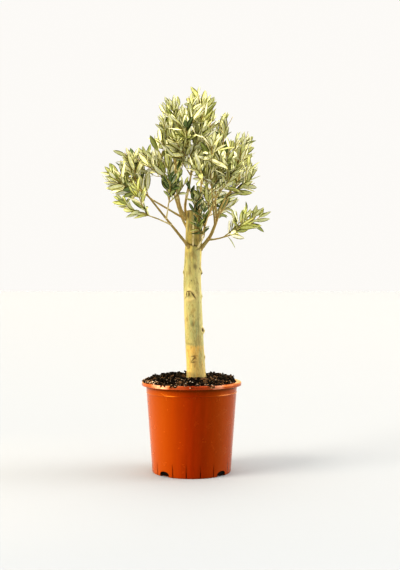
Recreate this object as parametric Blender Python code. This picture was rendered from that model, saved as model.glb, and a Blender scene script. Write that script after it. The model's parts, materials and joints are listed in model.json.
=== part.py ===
"""Olive bonsai: a sawn-off olive trunk with a young crown, in a filled nursery pot.

Frame: metres, +Z up, origin at the centre of the pot's flat underside. The front of the
plant faces -Y, and +X lies to the right of it. Every limb and every mass of leaves is one
closed solid, and neighbours stay GAP apart.
"""
import math
import random
from collections import namedtuple

import bmesh
import bpy
import numpy as np
from mathutils import Matrix, Vector

MM = 0.001
GAP = 0.3 * MM
UP = Vector((0.0, 0.0, 1.0))

# Pot: a 22 cm container of thin moulded plastic, with a rolled rim
POT_HEIGHT = 199 * MM
POT_FOOT_RADIUS = 86.5 * MM
POT_BODY_RADIUS = 100.5 * MM
POT_WALL = 2.0 * MM
POT_FLOOR = 2.5 * MM
FOOT_ROUNDING = 1.6 * MM
FOOT_BEVEL_SHARE = 0.3
RIM_RADIUS = 110 * MM
RIM_DEPTH = 8.5 * MM
RIM_ROUNDING = 2.6 * MM
RIM_SLOPE = 4.5 * MM
RIM_ARC_DEGREES = (-60, 0, 60)
RIM_ARC_INSET = 0.3
BEAD_HEIGHT = 175 * MM
BEAD_WIDTH = 3.0 * MM
BEAD_PROUD = 0.9 * MM
BEAD_STEPS = ((-1, 0), (-0.3, 1), (0.3, 1), (1, 0))
POT_SEGMENTS = 36

# Drain notches, and the moulded grooves between them, which are slots through the wall in
# their lowest 12 mm
NOTCH_COUNT = 4
NOTCH_FIRST_DEG = 48.0
NOTCH_WIDTH = 26 * MM
NOTCH_HEIGHT = 11.5 * MM
NOTCH_REACH = 12 * MM
NOTCH_ARC_POINTS = 6
NOTCH_SPRING_SHARE = 0.35
NOTCH_BELOW_SHARE = 0.3
GROOVE_DEGREES = (-30.0, -10.0, 10.0, 30.0)
GROOVE_WIDTH = 2.2 * MM
GROOVE_DEPTH = 3.4 * MM
GROOVE_TOP = 30 * MM
GROOVE_TOP_DEPTH = 0.05 * MM
GROOVE_FLOOR_SHARE = 0.4
GROOVE_MOUTH_SHARE = 2.0
GROOVE_BELOW = 1 * MM
GROOVE_BEYOND = 4 * MM
GROOVE_CENTRE_DEG = 3.0

# Soil: bark and peat, heaped in a ring round the trunk
SOIL_EDGE_HEIGHT = 197.5 * MM
SOIL_RING_RADIUS = 58 * MM
SOIL_RING_HEIGHT = 207 * MM
SOIL_SEAT_RADIUS = 27 * MM
SOIL_SEAT_HEIGHT = 203 * MM
SOIL_LUMP = 2.2 * MM
SOIL_INSET = 1.5 * MM
SOIL_CALM_EDGE = 4 * MM
SOIL_SEGMENTS = 30
SOIL_RINGS = 7
SOIL_SEED = 4

# Trunk: its axis, as height and offsets to the right and back, leans and bends a little, and
# its top is sawn flat. Its lobes are a number round it, twist, and how proud they stand
TRUNK_TOP = 577 * MM
TRUNK_SAW_SLOPE = 0.07
TRUNK_FOOT_DIAMETER = 41 * MM
TRUNK_MIDDLE_DIAMETER = 39.5 * MM
TRUNK_TOP_DIAMETER = 35 * MM
TRUNK_FLARE = 2.4 * MM
TRUNK_FLARE_HEIGHT = 14 * MM
TRUNK_LEAN = (
    (203, 11.0, 2.0),
    (246, 8.3, 1.5),
    (313, 4.6, 0.0),
    (390, 3.0, -1.0),
    (445, 2.2, 0.0),
    (577, 5.8, 1.5),
)
TRUNK_SIDES = 16
TRUNK_RINGS = 18
TRUNK_LOBES = ((3, 9, 0.5 * MM), (5, -14, 0.3 * MM))
SWELLING_FALL = 2

# Swellings on the bark: height, compass angle (0 right, 90 back, 270 front), size, how proud
Swelling = namedtuple("Swelling", "height angle spread proud")
SWELLINGS = (
    Swelling(398 * MM, 262, 13 * MM, 1.8 * MM),
    Swelling(441 * MM, 352, 8 * MM, 2.6 * MM),
    Swelling(386 * MM, 358, 7 * MM, 2.2 * MM),
    Swelling(310 * MM, 356, 8 * MM, 3.0 * MM),
    Swelling(440 * MM, 186, 7 * MM, 1.6 * MM),
    Swelling(252 * MM, 2, 7 * MM, 1.4 * MM),
    Swelling(497 * MM, 300, 18 * MM, 1.8 * MM),
    Swelling(566 * MM, 190, 12 * MM, 1.6 * MM),
)

# Boughs: where each leaves its parent and how far beside the trunk's axis it starts, its tip,
# how far its middle bows towards the ground, and its thickness at both ends, in millimetres
Bough = namedtuple("Bough", "name parent root_height side tip bow root_diameter tip_diameter")
BOUGHS = (
    Bough("bough_left_low", "trunk", 488, (-3, -12), (-93, -48, 603), 0, 6.4, 3.4),
    Bough("bough_left_mid", "trunk", 546, (0, 0), (-84, 10, 599), 0, 5.0, 3.4),
    Bough("bough_left_top", "trunk", 543, (0, 0), (-32, -8, 620), 11, 8.8, 5.8),
    Bough("bough_leader", "trunk", 530, (0, 0), (-6, 4, 632), 14, 6.4, 4.6),
    Bough("bough_right", "trunk", 473, (0, 0), (62, -8, 575), 10, 9.4, 5.2),
    Bough("bough_back_left", "trunk", 512, (0, 0), (-40, 46, 618), 6, 6.0, 4.4),
    Bough("bough_back_mid", "trunk", 518, (0, 0), (20, 48, 622), 6, 6.0, 4.4),
    Bough("bough_back_right", "trunk", 520, (0, 0), (54, 42, 606), 6, 6.0, 4.4),
    Bough("bough_back_low", "trunk", 484, (0, 0), (34, 60, 560), 6, 5.6, 3.8),
    Bough("bough_front_thin", "trunk", 480, (0, 0), (4, -36, 552), 9, 3.6, 2.8),
    Bough("bough_front_right", "trunk", 484, (0, 0), (26, -32, 515), 3, 3.6, 2.8),
    Bough("bough_left_spray", "bough_left_low", 543, (0, 0), (-70, -53, 553), 0, 3.4, 2.8),
    Bough("bough_left_riser", "bough_left_low", 556, (0, 0), (-50, -56, 580), 1, 3.2, 2.6),
    Bough("bough_left_inner", "bough_left_top", 600, (0, 0), (-44, -24, 628), 2, 3.8, 3.0),
    Bough("bough_leader_front", "bough_leader", 604, (0, 0), (-4, -14, 632), 2, 3.8, 3.0),
    Bough("bough_right_low", "bough_right", 512, (0, 0), (58, -24, 513), 1, 4.2, 3.2),
    Bough("bough_right_inner", "bough_right", 546, (0, 0), (47, -30, 588), 2, 4.2, 3.2),
    Bough("bough_right_up", "bough_right", 556, (0, 0), (53, 4, 600), 2, 4.4, 3.4),
    Bough("bough_right_far", "bough_right", 566, (0, 0), (82, 6, 604), 3, 4.4, 3.4),
)
BOUGH_SIDES = 7
BOUGH_RINGS = 5
COLLAR_SWELL = 0.25
COLLAR_FADE = 6

# Masses of leaves: the bough that carries each, its stem's tip in millimetres, how many
# shoots leave the stem, how large its leaves are, its seed and its main tint
Mass = namedtuple("Mass", "name bough tip shoots leaf seed tint")
MASSES = (
    Mass("leaves_top_left", "bough_left_top", (-26, 0, 784), 8, 1.0, 650, "grey"),
    Mass("leaves_top_centre", "bough_leader", (12, 0, 800), 8, 1.0, 582, "grey"),
    Mass("leaves_left_upper", "bough_left_mid", (-138, 14, 676), 5, 1.0, 488, "grey"),
    Mass("leaves_left_far", "bough_left_low", (-160, -55, 630), 3, 1.0, 223, "grey"),
    Mass("leaves_left_low", "bough_left_spray", (-146, -80, 590), 2, 0.9, 487, "lime"),
    Mass("leaves_left_riser", "bough_left_riser", (-42, -70, 624), 4, 0.75, 979, "dark"),
    Mass("leaves_left_inner", "bough_left_inner", (-86, -36, 684), 3, 1.0, 363, "grey"),
    Mass("leaves_front_left", "bough_leader_front", (-14, -84, 758), 8, 1.0, 592, "grey"),
    Mass("leaves_front_right", "bough_right_inner", (40, -92, 688), 6, 1.0, 172, "grey"),
    Mass("leaves_front_thin", "bough_front_thin", (14, -50, 604), 2, 0.6, 94, "dark"),
    Mass("leaves_front_low", "bough_front_right", (26, -50, 556), 4, 0.62, 82, "dark"),
    Mass("leaves_right", "bough_right", (114, -14, 664), 5, 1.0, 53, "grey"),
    Mass("leaves_right_low", "bough_right_low", (138, -42, 560), 3, 0.9, 333, "lime"),
    Mass("leaves_right_up", "bough_right_up", (72, 4, 740), 7, 1.0, 128, "grey"),
    Mass("leaves_right_far", "bough_right_far", (100, 14, 728), 5, 1.0, 207, "grey"),
    Mass("leaves_back_left", "bough_back_left", (-56, 96, 740), 6, 1.0, 507, "grey"),
    Mass("leaves_back_mid", "bough_back_mid", (14, 108, 754), 5, 1.0, 905, "grey"),
    Mass("leaves_back_right", "bough_back_right", (98, 92, 714), 5, 1.0, 395, "grey"),
    Mass("leaves_back_low", "bough_back_low", (34, 122, 640), 4, 1.0, 932, "grey"),
)

# The rule that every mass grows by
STEM_STRAIGHT = 3 * MM
STEM_PULL = 0.38
STEM_RISE = 0.28
STEM_TIP_RADIUS = 1.0 * MM
SHOOT_FIRST = 0.08
SHOOT_LAST = 0.88
SHOOT_LENGTH = 74 * MM
SHOOT_SHORTENING = 0.4
SHOOT_VARIETY = (0.65, 1.15)
SHOOT_PLACE_SHARE = 0.7
SHOOT_SPREAD = (0.55, 0.95)
SHOOT_LIFT = 0.3
SHOOT_PULL = 0.4
SHOOT_RISE = 0.2
SHOOT_ROOT_RADIUS = 1.3 * MM
SHOOT_TIP_RADIUS = 0.9 * MM
GOLDEN_TURN = math.radians(137.5)
TURN_VARIETY = 0.4
TWIG_STEP = 26 * MM
TWIG_SIDES = 3
LEAF_FIRST = 13 * MM
LEAF_STEP = 21 * MM
LEAF_STEP_VARIETY = (0.85, 1.2)
LEAF_LENGTH = 50 * MM
LEAF_LENGTH_VARIETY = (0.82, 1.15)
LEAF_WIDTH_VARIETY = (0.85, 1.15)
LEAF_FULL_SIZE = 1.02
LEAF_SMALL_FROM = 0.55
LEAF_SMALLER_TIP = 0.42
LEAF_SMALL_UNTIL = 0.3
LEAF_SMALLER_ROOT = 0.25
LEAF_SLIM = 0.225
LEAF_WIDEST = 0.45
LEAF_THICKNESS = 0.024
LEAF_OPEN_ROOT = math.radians(58)
LEAF_OPEN_TIP = math.radians(24)
LEAF_OPEN_VARIETY = 0.22
LEAF_PLACE_VARIETY = 0.25
LEAF_RISE = (-0.05, 0.25)
LEAF_ROLL = 0.5
PAIR_TURN_VARIETY = 0.2
LEAF_ROOT_INSET = 0.4 * MM
LEAF_CURL = 0.05
LEAF_TEST_STEPS = (0.3, 0.55, 0.8, 1.0)
SPACE_MARGIN = 1.2 * MM
TWIG_MARGIN = 4.0 * MM
TWIG_SPACE_SHARE = 0.8
LIMB_MARGIN = 1.5 * MM
TRUNK_MARGIN = 2 * MM
TRUNK_SAMPLE_HEIGHTS = range(480, 569, 6)

COLOURS = {
    "pot": ("B34A08", 0.28),
    "soil": ("3A2C22", 0.95),
    "trunk": ("B9A363", 0.75),
    "bough": ("A08A4E", 0.7),
    "grey": ("A39C66", 0.55),
    "lime": ("B4B45A", 0.5),
    "dark": ("5F6A48", 0.5),
}


# Helpers

def clear_scene():
    for obj in list(bpy.data.objects):
        bpy.data.objects.remove(obj, do_unlink=True)


def linear(hex_colour):
    channels = [int(hex_colour[i:i + 2], 16) / 255 for i in (0, 2, 4)]
    return [c / 12.92 if c <= 0.04045 else ((c + 0.055) / 1.055) ** 2.4 for c in channels]


def finish_material(name, key):
    hex_colour, roughness = COLOURS[key]
    material = bpy.data.materials.new(name + "_finish")
    material.use_nodes = True
    shader = material.node_tree.nodes["Principled BSDF"]
    shader.inputs["Base Color"].default_value = (*linear(hex_colour), 1.0)
    shader.inputs["Roughness"].default_value = roughness
    shader.inputs["Metallic"].default_value = 0.0
    return material


def new_object(name, bm, collection=None):
    bmesh.ops.recalc_face_normals(bm, faces=bm.faces)
    mesh = bpy.data.meshes.new(name)
    bm.to_mesh(mesh)
    bm.free()
    obj = bpy.data.objects.new(name, mesh)
    (collection or bpy.context.scene.collection).objects.link(obj)
    return obj


def dress(obj, key, sharp_deg=None):
    obj.data.materials.clear()
    obj.data.materials.append(finish_material(obj.name, key))
    if sharp_deg is not None:
        obj.data.shade_smooth()
        obj.data.set_sharp_from_angle(angle=math.radians(sharp_deg))


def loft(bm, rings):
    """Skin closed rings of equal length and cap both ends."""
    layers = [[bm.verts.new(point) for point in ring] for ring in rings]
    for lower, upper in zip(layers, layers[1:]):
        for i in range(len(lower)):
            j = (i + 1) % len(lower)
            bm.faces.new((lower[i], lower[j], upper[j], upper[i]))
    bm.faces.new(list(reversed(layers[0])))
    bm.faces.new(layers[-1])


def turned(bm, profile, segments):
    """Turn (radius, height) points about Z: the first and last lie on the axis."""
    middle = [[bm.verts.new((r * math.cos(a), r * math.sin(a), z))
               for a in (2 * math.pi * i / segments for i in range(segments))]
              for r, z in profile[1:-1]]
    ends = [bm.verts.new((0.0, 0.0, profile[k][1])) for k in (0, -1)]
    for i in range(segments):
        j = (i + 1) % segments
        for lower, upper in zip(middle, middle[1:]):
            bm.faces.new((lower[i], lower[j], upper[j], upper[i]))
        bm.faces.new((ends[0], middle[0][j], middle[0][i]))
        bm.faces.new((ends[1], middle[-1][i], middle[-1][j]))


def cut_with(obj, cutter, operation="DIFFERENCE", solver="EXACT"):
    """Apply a Boolean with an object or a collection, then remove what it used."""
    modifier = obj.modifiers.new("joined", "BOOLEAN")
    modifier.operation = operation
    modifier.solver = solver
    if isinstance(cutter, bpy.types.Collection):
        modifier.operand_type = "COLLECTION"
        modifier.collection = cutter
        used = list(cutter.objects)
    else:
        modifier.object = cutter
        used = [cutter]
    with bpy.context.temp_override(object=obj, active_object=obj, selected_objects=[obj]):
        bpy.ops.object.modifier_apply(modifier=modifier.name)
    for other in used:
        bpy.data.objects.remove(other, do_unlink=True)
    if isinstance(cutter, bpy.types.Collection):
        bpy.data.collections.remove(cutter)


def keep_largest(obj):
    """Drop loose scraps and fill sealed hollows: only the largest shell stays."""
    bm = bmesh.new()
    bm.from_mesh(obj.data)
    left = set(bm.faces)
    shells = []
    while left:
        seed = left.pop()
        shell = [seed]
        for face in shell:
            for edge in face.edges:
                for other in edge.link_faces:
                    if other in left:
                        left.remove(other)
                        shell.append(other)
        shells.append(shell)
    shells.sort(key=len)
    for shell in shells[:-1]:
        bmesh.ops.delete(bm, geom=shell, context="FACES")
    bm.to_mesh(obj.data)
    bm.free()


def smooth_curve(points, t):
    """A point on the Catmull-Rom curve through the points, with t from 0 to 1."""
    span = t * (len(points) - 1)
    i = min(int(span), len(points) - 2)
    u = span - i
    before = points[i - 1] if i > 0 else points[0] * 2 - points[1]
    after = points[i + 2] if i + 2 < len(points) else points[-1] * 2 - points[-2]
    a, b = points[i], points[i + 1]
    return 0.5 * ((2 * a) + (b - before) * u + (2 * before - 5 * a + 4 * b - after) * u ** 2
                  + (3 * a - before - 3 * b + after) * u ** 3)


def bezier(a, b, c, d, t):
    s = 1 - t
    return a * s ** 3 + b * (3 * s * s * t) + c * (3 * s * t * t) + d * t ** 3


def frames_along(path):
    """Tangent and two crossing directions at each point, carried on without twist."""
    tangents = []
    for i in range(len(path)):
        tangents.append((path[min(i + 1, len(path) - 1)] - path[max(i - 1, 0)]).normalized())
    side = tangents[0].orthogonal().normalized()
    frames = []
    for tangent in tangents:
        side = (side - tangent * side.dot(tangent)).normalized()
        frames.append((tangent, side, tangent.cross(side)))
    return frames


def tube_rings(path, radii, sides):
    rings = []
    for point, radius, (_, side, up) in zip(path, radii, frames_along(path)):
        angles = [2 * math.pi * k / sides for k in range(sides)]
        rings.append([point + (side * math.cos(a) + up * math.sin(a)) * radius for a in angles])
    return rings


# Pot

def body_radius(z):
    """The pot's tapering outside, without its rounded foot."""
    return POT_FOOT_RADIUS + (POT_BODY_RADIUS - POT_FOOT_RADIUS) * z / (POT_HEIGHT - RIM_DEPTH)


def pot_profile():
    """Up the outside, over the rim, down the inside and back to the axis."""
    rim_low = POT_HEIGHT - RIM_DEPTH
    profile = [(0.0, 0.0), (POT_FOOT_RADIUS - FOOT_ROUNDING, 0.0)]
    bevel = FOOT_ROUNDING * FOOT_BEVEL_SHARE
    profile.append((body_radius(0) - bevel, bevel))
    profile.append((body_radius(FOOT_ROUNDING), FOOT_ROUNDING))
    profile.append((body_radius(GROOVE_TOP), GROOVE_TOP))
    for lift, proud in BEAD_STEPS:
        z = BEAD_HEIGHT + lift * BEAD_WIDTH / 2
        profile.append((body_radius(z) + proud * BEAD_PROUD, z))
    profile.append((body_radius(rim_low - RIM_SLOPE), rim_low - RIM_SLOPE))
    for angle in RIM_ARC_DEGREES:
        a = math.radians(angle)
        z = rim_low + RIM_DEPTH / 2 + math.sin(a) * (RIM_DEPTH / 2 - RIM_ROUNDING * RIM_ARC_INSET)
        profile.append((RIM_RADIUS - RIM_ROUNDING * (1 - math.cos(a)), z))
    profile.append((RIM_RADIUS - 2 * RIM_ROUNDING, POT_HEIGHT))
    profile.append((POT_BODY_RADIUS - POT_WALL + RIM_ROUNDING, POT_HEIGHT))
    profile.append((POT_BODY_RADIUS - POT_WALL, POT_HEIGHT - RIM_ROUNDING))
    profile.append((body_radius(POT_FLOOR) - POT_WALL, POT_FLOOR))
    profile.append((0.0, POT_FLOOR))
    return profile


def notch_cutter(collection, angle_deg):
    """An arch that goes through the wall at the foot."""
    bm = bmesh.new()
    half = NOTCH_WIDTH / 2
    below = -NOTCH_HEIGHT * NOTCH_BELOW_SHARE
    spring = NOTCH_HEIGHT * NOTCH_SPRING_SHARE
    outline = [(-half, below)]
    for k in range(NOTCH_ARC_POINTS + 1):
        a = math.pi * (1 - k / NOTCH_ARC_POINTS)
        outline.append((half * math.cos(a), spring + (NOTCH_HEIGHT - spring) * math.sin(a)))
    outline.append((half, below))
    near, far = POT_FOOT_RADIUS - NOTCH_REACH, POT_FOOT_RADIUS + NOTCH_REACH
    loft(bm, [[(r, y, z) for y, z in outline] for r in (near, far)])
    bmesh.ops.rotate(bm, verts=bm.verts, matrix=Matrix.Rotation(math.radians(angle_deg), 3, "Z"))
    return new_object("notch_cutter", bm, collection)


def groove_cutter(collection, angle_deg):
    """A slim wedge that runs out at its top and is deepest at the foot."""
    bm = bmesh.new()
    floor = GROOVE_WIDTH / 2 * GROOVE_FLOOR_SHARE
    mouth = GROOVE_WIDTH / 2 * GROOVE_MOUTH_SHARE
    rings = []
    for z, depth in ((-GROOVE_BELOW, GROOVE_DEPTH), (GROOVE_TOP, GROOVE_TOP_DEPTH)):
        inside = body_radius(z) - depth
        outside = body_radius(z) + GROOVE_BEYOND
        rings.append([(inside, -floor, z), (outside, -mouth, z), (outside, mouth, z), (inside, floor, z)])
    loft(bm, rings)
    bmesh.ops.rotate(bm, verts=bm.verts, matrix=Matrix.Rotation(math.radians(angle_deg), 3, "Z"))
    return new_object("groove_cutter", bm, collection)


def make_pot():
    bm = bmesh.new()
    turned(bm, pot_profile(), POT_SEGMENTS)
    pot = new_object("pot", bm)
    cutters = bpy.data.collections.new("pot_cutters")
    bpy.context.scene.collection.children.link(cutters)
    for quarter in range(NOTCH_COUNT):
        turn = quarter * 360 / NOTCH_COUNT
        notch_cutter(cutters, NOTCH_FIRST_DEG + turn)
        for degrees in GROOVE_DEGREES:
            groove_cutter(cutters, GROOVE_CENTRE_DEG + turn + degrees)
    cut_with(pot, cutters)
    dress(pot, "pot", 35)
    return pot


# Soil

def soil_height(radius, edge):
    """The heaped surface: flat seat, dip at the trunk, ring, then down to the pot's wall."""
    if radius <= SOIL_SEAT_RADIUS:
        return SOIL_SEAT_HEIGHT
    if radius <= SOIL_RING_RADIUS:
        t = (radius - SOIL_SEAT_RADIUS) / (SOIL_RING_RADIUS - SOIL_SEAT_RADIUS)
        return SOIL_SEAT_HEIGHT + (SOIL_RING_HEIGHT - SOIL_SEAT_HEIGHT) * (1 - (1 - t) ** 2)
    t = (radius - SOIL_RING_RADIUS) / (edge - SOIL_RING_RADIUS)
    return SOIL_RING_HEIGHT + (SOIL_EDGE_HEIGHT - SOIL_RING_HEIGHT) * t ** 3


def make_soil():
    rng = random.Random(SOIL_SEED)
    edge = POT_BODY_RADIUS - POT_WALL - 2 * GAP
    foot = body_radius(POT_FLOOR) - POT_WALL - 2 * GAP
    outer = edge - SOIL_INSET
    wall_top = POT_HEIGHT - RIM_ROUNDING
    bm = bmesh.new()
    levels = [(0.0, POT_FLOOR + GAP), (foot, POT_FLOOR + GAP), (edge, wall_top)]
    for k in range(SOIL_RINGS):
        t = k / (SOIL_RINGS - 1)
        radius = outer + (SOIL_SEAT_RADIUS - outer) * t
        levels.append((radius, soil_height(radius, edge)))
    levels.append((0.0, SOIL_SEAT_HEIGHT))
    turned(bm, levels, SOIL_SEGMENTS)
    trunk_foot = trunk_axis(0)
    for vert in bm.verts:
        if vert.co.z < wall_top + MM:
            continue
        radius = math.hypot(vert.co.x, vert.co.y)
        if SOIL_SEAT_RADIUS + MM < radius < edge - SOIL_CALM_EDGE:
            vert.co += Vector([rng.uniform(-1, 1) * SOIL_LUMP for _ in range(3)])
        near_trunk = min(1.0, (edge - radius) / (edge - SOIL_SEAT_RADIUS))
        vert.co.x += trunk_foot.x * near_trunk
        vert.co.y += trunk_foot.y * near_trunk
    soil = new_object("soil", bm)
    dress(soil, "soil", 20)
    return soil


# Trunk

def trunk_axis(t):
    points = [Vector((x, y, z)) * MM for z, x, y in TRUNK_LEAN]
    return smooth_curve(points, t)


def trunk_axis_at(z):
    """The trunk's axis at a height, found by halving."""
    low, high = 0.0, 1.0
    for _ in range(30):
        middle = (low + high) / 2
        if trunk_axis(middle).z < z:
            low = middle
        else:
            high = middle
    return trunk_axis(low)


def trunk_radius(z, angle):
    foot = SOIL_SEAT_HEIGHT + GAP
    t = (z - foot) / (TRUNK_TOP - foot)
    if t < 0.5:
        diameter = TRUNK_FOOT_DIAMETER + (TRUNK_MIDDLE_DIAMETER - TRUNK_FOOT_DIAMETER) * t * 2
    else:
        diameter = TRUNK_MIDDLE_DIAMETER + (TRUNK_TOP_DIAMETER - TRUNK_MIDDLE_DIAMETER) * (t * 2 - 1)
    radius = diameter / 2 + TRUNK_FLARE * math.exp(-(z - foot) / TRUNK_FLARE_HEIGHT)
    for count, twist, proud in TRUNK_LOBES:
        radius += proud * math.sin(count * angle + twist * t)
    for swelling in SWELLINGS:
        turn = (angle - math.radians(swelling.angle) + math.pi) % (2 * math.pi) - math.pi
        away = math.hypot(turn * diameter / 2, z - swelling.height) / swelling.spread
        radius += swelling.proud * math.exp(-away * away * SWELLING_FALL)
    return radius


def trunk_rings(extra=0.0):
    foot = SOIL_SEAT_HEIGHT + GAP
    rings = []
    for k in range(TRUNK_RINGS + 1):
        z = foot + (TRUNK_TOP - foot) * k / TRUNK_RINGS
        centre = trunk_axis_at(z)
        ring = []
        for i in range(TRUNK_SIDES):
            angle = 2 * math.pi * i / TRUNK_SIDES
            radius = trunk_radius(z, angle) + extra
            saw = TRUNK_SAW_SLOPE * math.cos(angle) * radius if k == TRUNK_RINGS else 0.0
            x = centre.x + radius * math.cos(angle)
            y = centre.y + radius * math.sin(angle)
            ring.append(Vector((x, y, z + saw)))
        rings.append(ring)
    if extra:
        rings[-1] = [point + UP * extra for point in rings[-1]]
    return rings


def make_trunk():
    bm = bmesh.new()
    loft(bm, trunk_rings())
    trunk = new_object("trunk", bm)
    dress(trunk, "trunk", 40)
    return trunk


# Boughs

def point_at_height(path, z):
    """Where a rising path passes a height."""
    for a, b in zip(path, path[1:]):
        if a.z <= z <= b.z:
            return a + (b - a) * ((z - a.z) / (b.z - a.z))
    raise ValueError("no part of the limb is at this height")


def bough_path(bough, paths):
    """From inside the parent to the tip, bowed towards the ground in the middle."""
    tip = Vector(bough.tip) * MM
    if bough.parent == "trunk":
        root = trunk_axis_at(bough.root_height * MM) + Vector((*bough.side, 0)) * MM
    else:
        root = point_at_height(paths[bough.parent], bough.root_height * MM)
    across = (tip - root).normalized()
    sag = (across * across.z - UP).normalized() * bough.bow * MM
    middle = (root + tip) / 2 + sag
    points = [root, middle, tip]
    return [smooth_curve(points, k / (BOUGH_RINGS - 1)) for k in range(BOUGH_RINGS)]


def bough_radii(bough):
    radii = []
    for k in range(BOUGH_RINGS):
        t = k / (BOUGH_RINGS - 1)
        diameter = bough.root_diameter + (bough.tip_diameter - bough.root_diameter) * t
        collar = 1 + COLLAR_SWELL * math.exp(-t * COLLAR_FADE)
        radii.append(diameter / 2 * MM * collar)
    return radii


def all_bough_paths():
    paths = {}
    for bough in BOUGHS:
        paths[bough.name] = bough_path(bough, paths)
    return paths


def make_bough(bough, paths):
    bm = bmesh.new()
    loft(bm, tube_rings(paths[bough.name], bough_radii(bough), BOUGH_SIDES))
    obj = new_object(bough.name, bm)
    guide = bmesh.new()
    if bough.parent == "trunk":
        loft(guide, trunk_rings(GAP))
    else:
        parent = next(other for other in BOUGHS if other.name == bough.parent)
        radii = [radius + GAP for radius in bough_radii(parent)]
        loft(guide, tube_rings(paths[parent.name], radii, BOUGH_SIDES))
    cut_with(obj, new_object("parent_guide", guide))
    keep_largest(obj)
    dress(obj, "bough", 40)
    return obj


# Growth of the masses: the same rule and seeds give the same twigs and leaves each time

Twig = namedtuple("Twig", "path radii")
Leaf = namedtuple("Leaf", "root direction side length width")


def walk(path, distance):
    """The point and direction at a distance along a path."""
    for a, b in zip(path, path[1:]):
        step = (b - a).length
        if distance <= step:
            return a + (b - a) * (distance / step), (b - a).normalized()
        distance -= step
    return path[-1].copy(), (path[-1] - path[-2]).normalized()


def path_length(path):
    return sum((b - a).length for a, b in zip(path, path[1:]))


def curve_path(a, b, c, d):
    steps = max(2, round((d - a).length / TWIG_STEP))
    return [bezier(a, b, c, d, k / steps) for k in range(steps + 1)]


def taper(root, tip, count):
    return [root + (tip - root) * k / (count - 1) for k in range(count)]


def stem_twig(mass, limb):
    """The stem goes on from its bough's tip and bends up to its own tip."""
    bough = next(other for other in BOUGHS if other.name == mass.bough)
    heading = (limb[-1] - limb[-2]).normalized()
    start = limb[-1] + heading * GAP
    tip = Vector(mass.tip) * MM
    reach = (tip - start).length
    arrive = ((tip - start).normalized() + UP).normalized()
    straight = start + heading * STEM_STRAIGHT
    leave = straight + heading * reach * STEM_PULL
    path = curve_path(straight, leave, tip - arrive * reach * STEM_RISE, tip)
    path.insert(0, start)
    return Twig(path, taper(bough.tip_diameter / 2 * MM, STEM_TIP_RADIUS, len(path)))


def shoot_twigs(mass, stem, rng):
    """Shoots leave the stem in a spiral, shorter towards its tip, and turn up."""
    twigs = []
    length_of_stem = path_length(stem.path)
    turn = rng.uniform(0, 2 * math.pi)
    for k in range(mass.shoots):
        t = SHOOT_FIRST + (SHOOT_LAST - SHOOT_FIRST) * (k + rng.random() * SHOOT_PLACE_SHARE) / mass.shoots
        root, along = walk(stem.path, t * length_of_stem)
        turn += GOLDEN_TURN + rng.uniform(-TURN_VARIETY, TURN_VARIETY)
        side = along.orthogonal().normalized()
        out = side * math.cos(turn) + along.cross(side) * math.sin(turn)
        opening = rng.uniform(*SHOOT_SPREAD)
        heading = along * math.cos(opening) + out * math.sin(opening)
        length = SHOOT_LENGTH * mass.leaf * (1 - SHOOT_SHORTENING * t) * rng.uniform(*SHOOT_VARIETY)
        tip = root + heading * length + UP * length * SHOOT_LIFT
        arrive = tip - (heading + UP) * length * SHOOT_RISE
        path = curve_path(root, root + heading * length * SHOOT_PULL, arrive, tip)
        twigs.append(Twig(path, taper(SHOOT_ROOT_RADIUS, SHOOT_TIP_RADIUS, len(path))))
    return twigs


def leaf_size(t):
    """How large a leaf is, by its place on the twig: smaller near both ends."""
    past = max(0.0, t - LEAF_SMALL_FROM) / (1 - LEAF_SMALL_FROM)
    short = max(0.0, LEAF_SMALL_UNTIL - t) / LEAF_SMALL_UNTIL
    return LEAF_LENGTH * (LEAF_FULL_SIZE - LEAF_SMALLER_TIP * past - LEAF_SMALLER_ROOT * short)


def leaves_on(twig, first, scale, rng):
    """Pairs of leaves, each pair crossing the one below, and a last pair at the tip."""
    leaves = []
    whole = path_length(twig.path)
    distance = first * scale
    turn = rng.uniform(0, math.pi)
    while distance < whole + LEAF_STEP * 0.5 * scale:
        t = min(distance / whole, 1.0)
        root, along = walk(twig.path, min(distance, whole - MM))
        side = along.orthogonal().normalized()
        for half in range(2):
            angle = turn + half * math.pi + rng.uniform(-LEAF_PLACE_VARIETY, LEAF_PLACE_VARIETY)
            out = side * math.cos(angle) + along.cross(side) * math.sin(angle)
            opening = LEAF_OPEN_ROOT + (LEAF_OPEN_TIP - LEAF_OPEN_ROOT) * t
            opening += rng.uniform(-LEAF_OPEN_VARIETY, LEAF_OPEN_VARIETY)
            direction = along * math.cos(opening) + out * math.sin(opening)
            direction = (direction + UP * rng.uniform(*LEAF_RISE)).normalized()
            across = direction.cross(out if abs(direction.dot(along)) > 0.98 else along).normalized()
            roll = rng.uniform(-LEAF_ROLL, LEAF_ROLL)
            across = (across + direction.cross(across) * roll).normalized()
            length = leaf_size(t) * scale * rng.uniform(*LEAF_LENGTH_VARIETY)
            width = length * LEAF_SLIM * rng.uniform(*LEAF_WIDTH_VARIETY)
            leaves.append(Leaf(root - out * LEAF_ROOT_INSET, direction, across, length, width))
        turn += math.pi / 2 + rng.uniform(-PAIR_TURN_VARIETY, PAIR_TURN_VARIETY)
        distance += LEAF_STEP * scale * rng.uniform(*LEAF_STEP_VARIETY)
    return leaves


def samples(paths, step=4 * MM):
    """Points along paths, as one array."""
    points = []
    for path in paths:
        count = max(2, round(path_length(path) / step))
        for k in range(count + 1):
            points.append(walk(path, path_length(path) * k / count)[0])
    return np.array([tuple(point) for point in points])


def nearest(points, cloud):
    """For each point, the distance to the nearest sample of the cloud."""
    return np.sqrt(((points[:, None, :] - cloud[None, :, :]) ** 2).sum(axis=2)).min(axis=1)


def limb_clearances(points, limbs):
    """For each point, how far outside every limb it lies."""
    least = np.full(len(points), 1.0)
    for cloud, radius in limbs:
        least = np.minimum(least, nearest(points, cloud) - radius)
    return least


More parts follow.
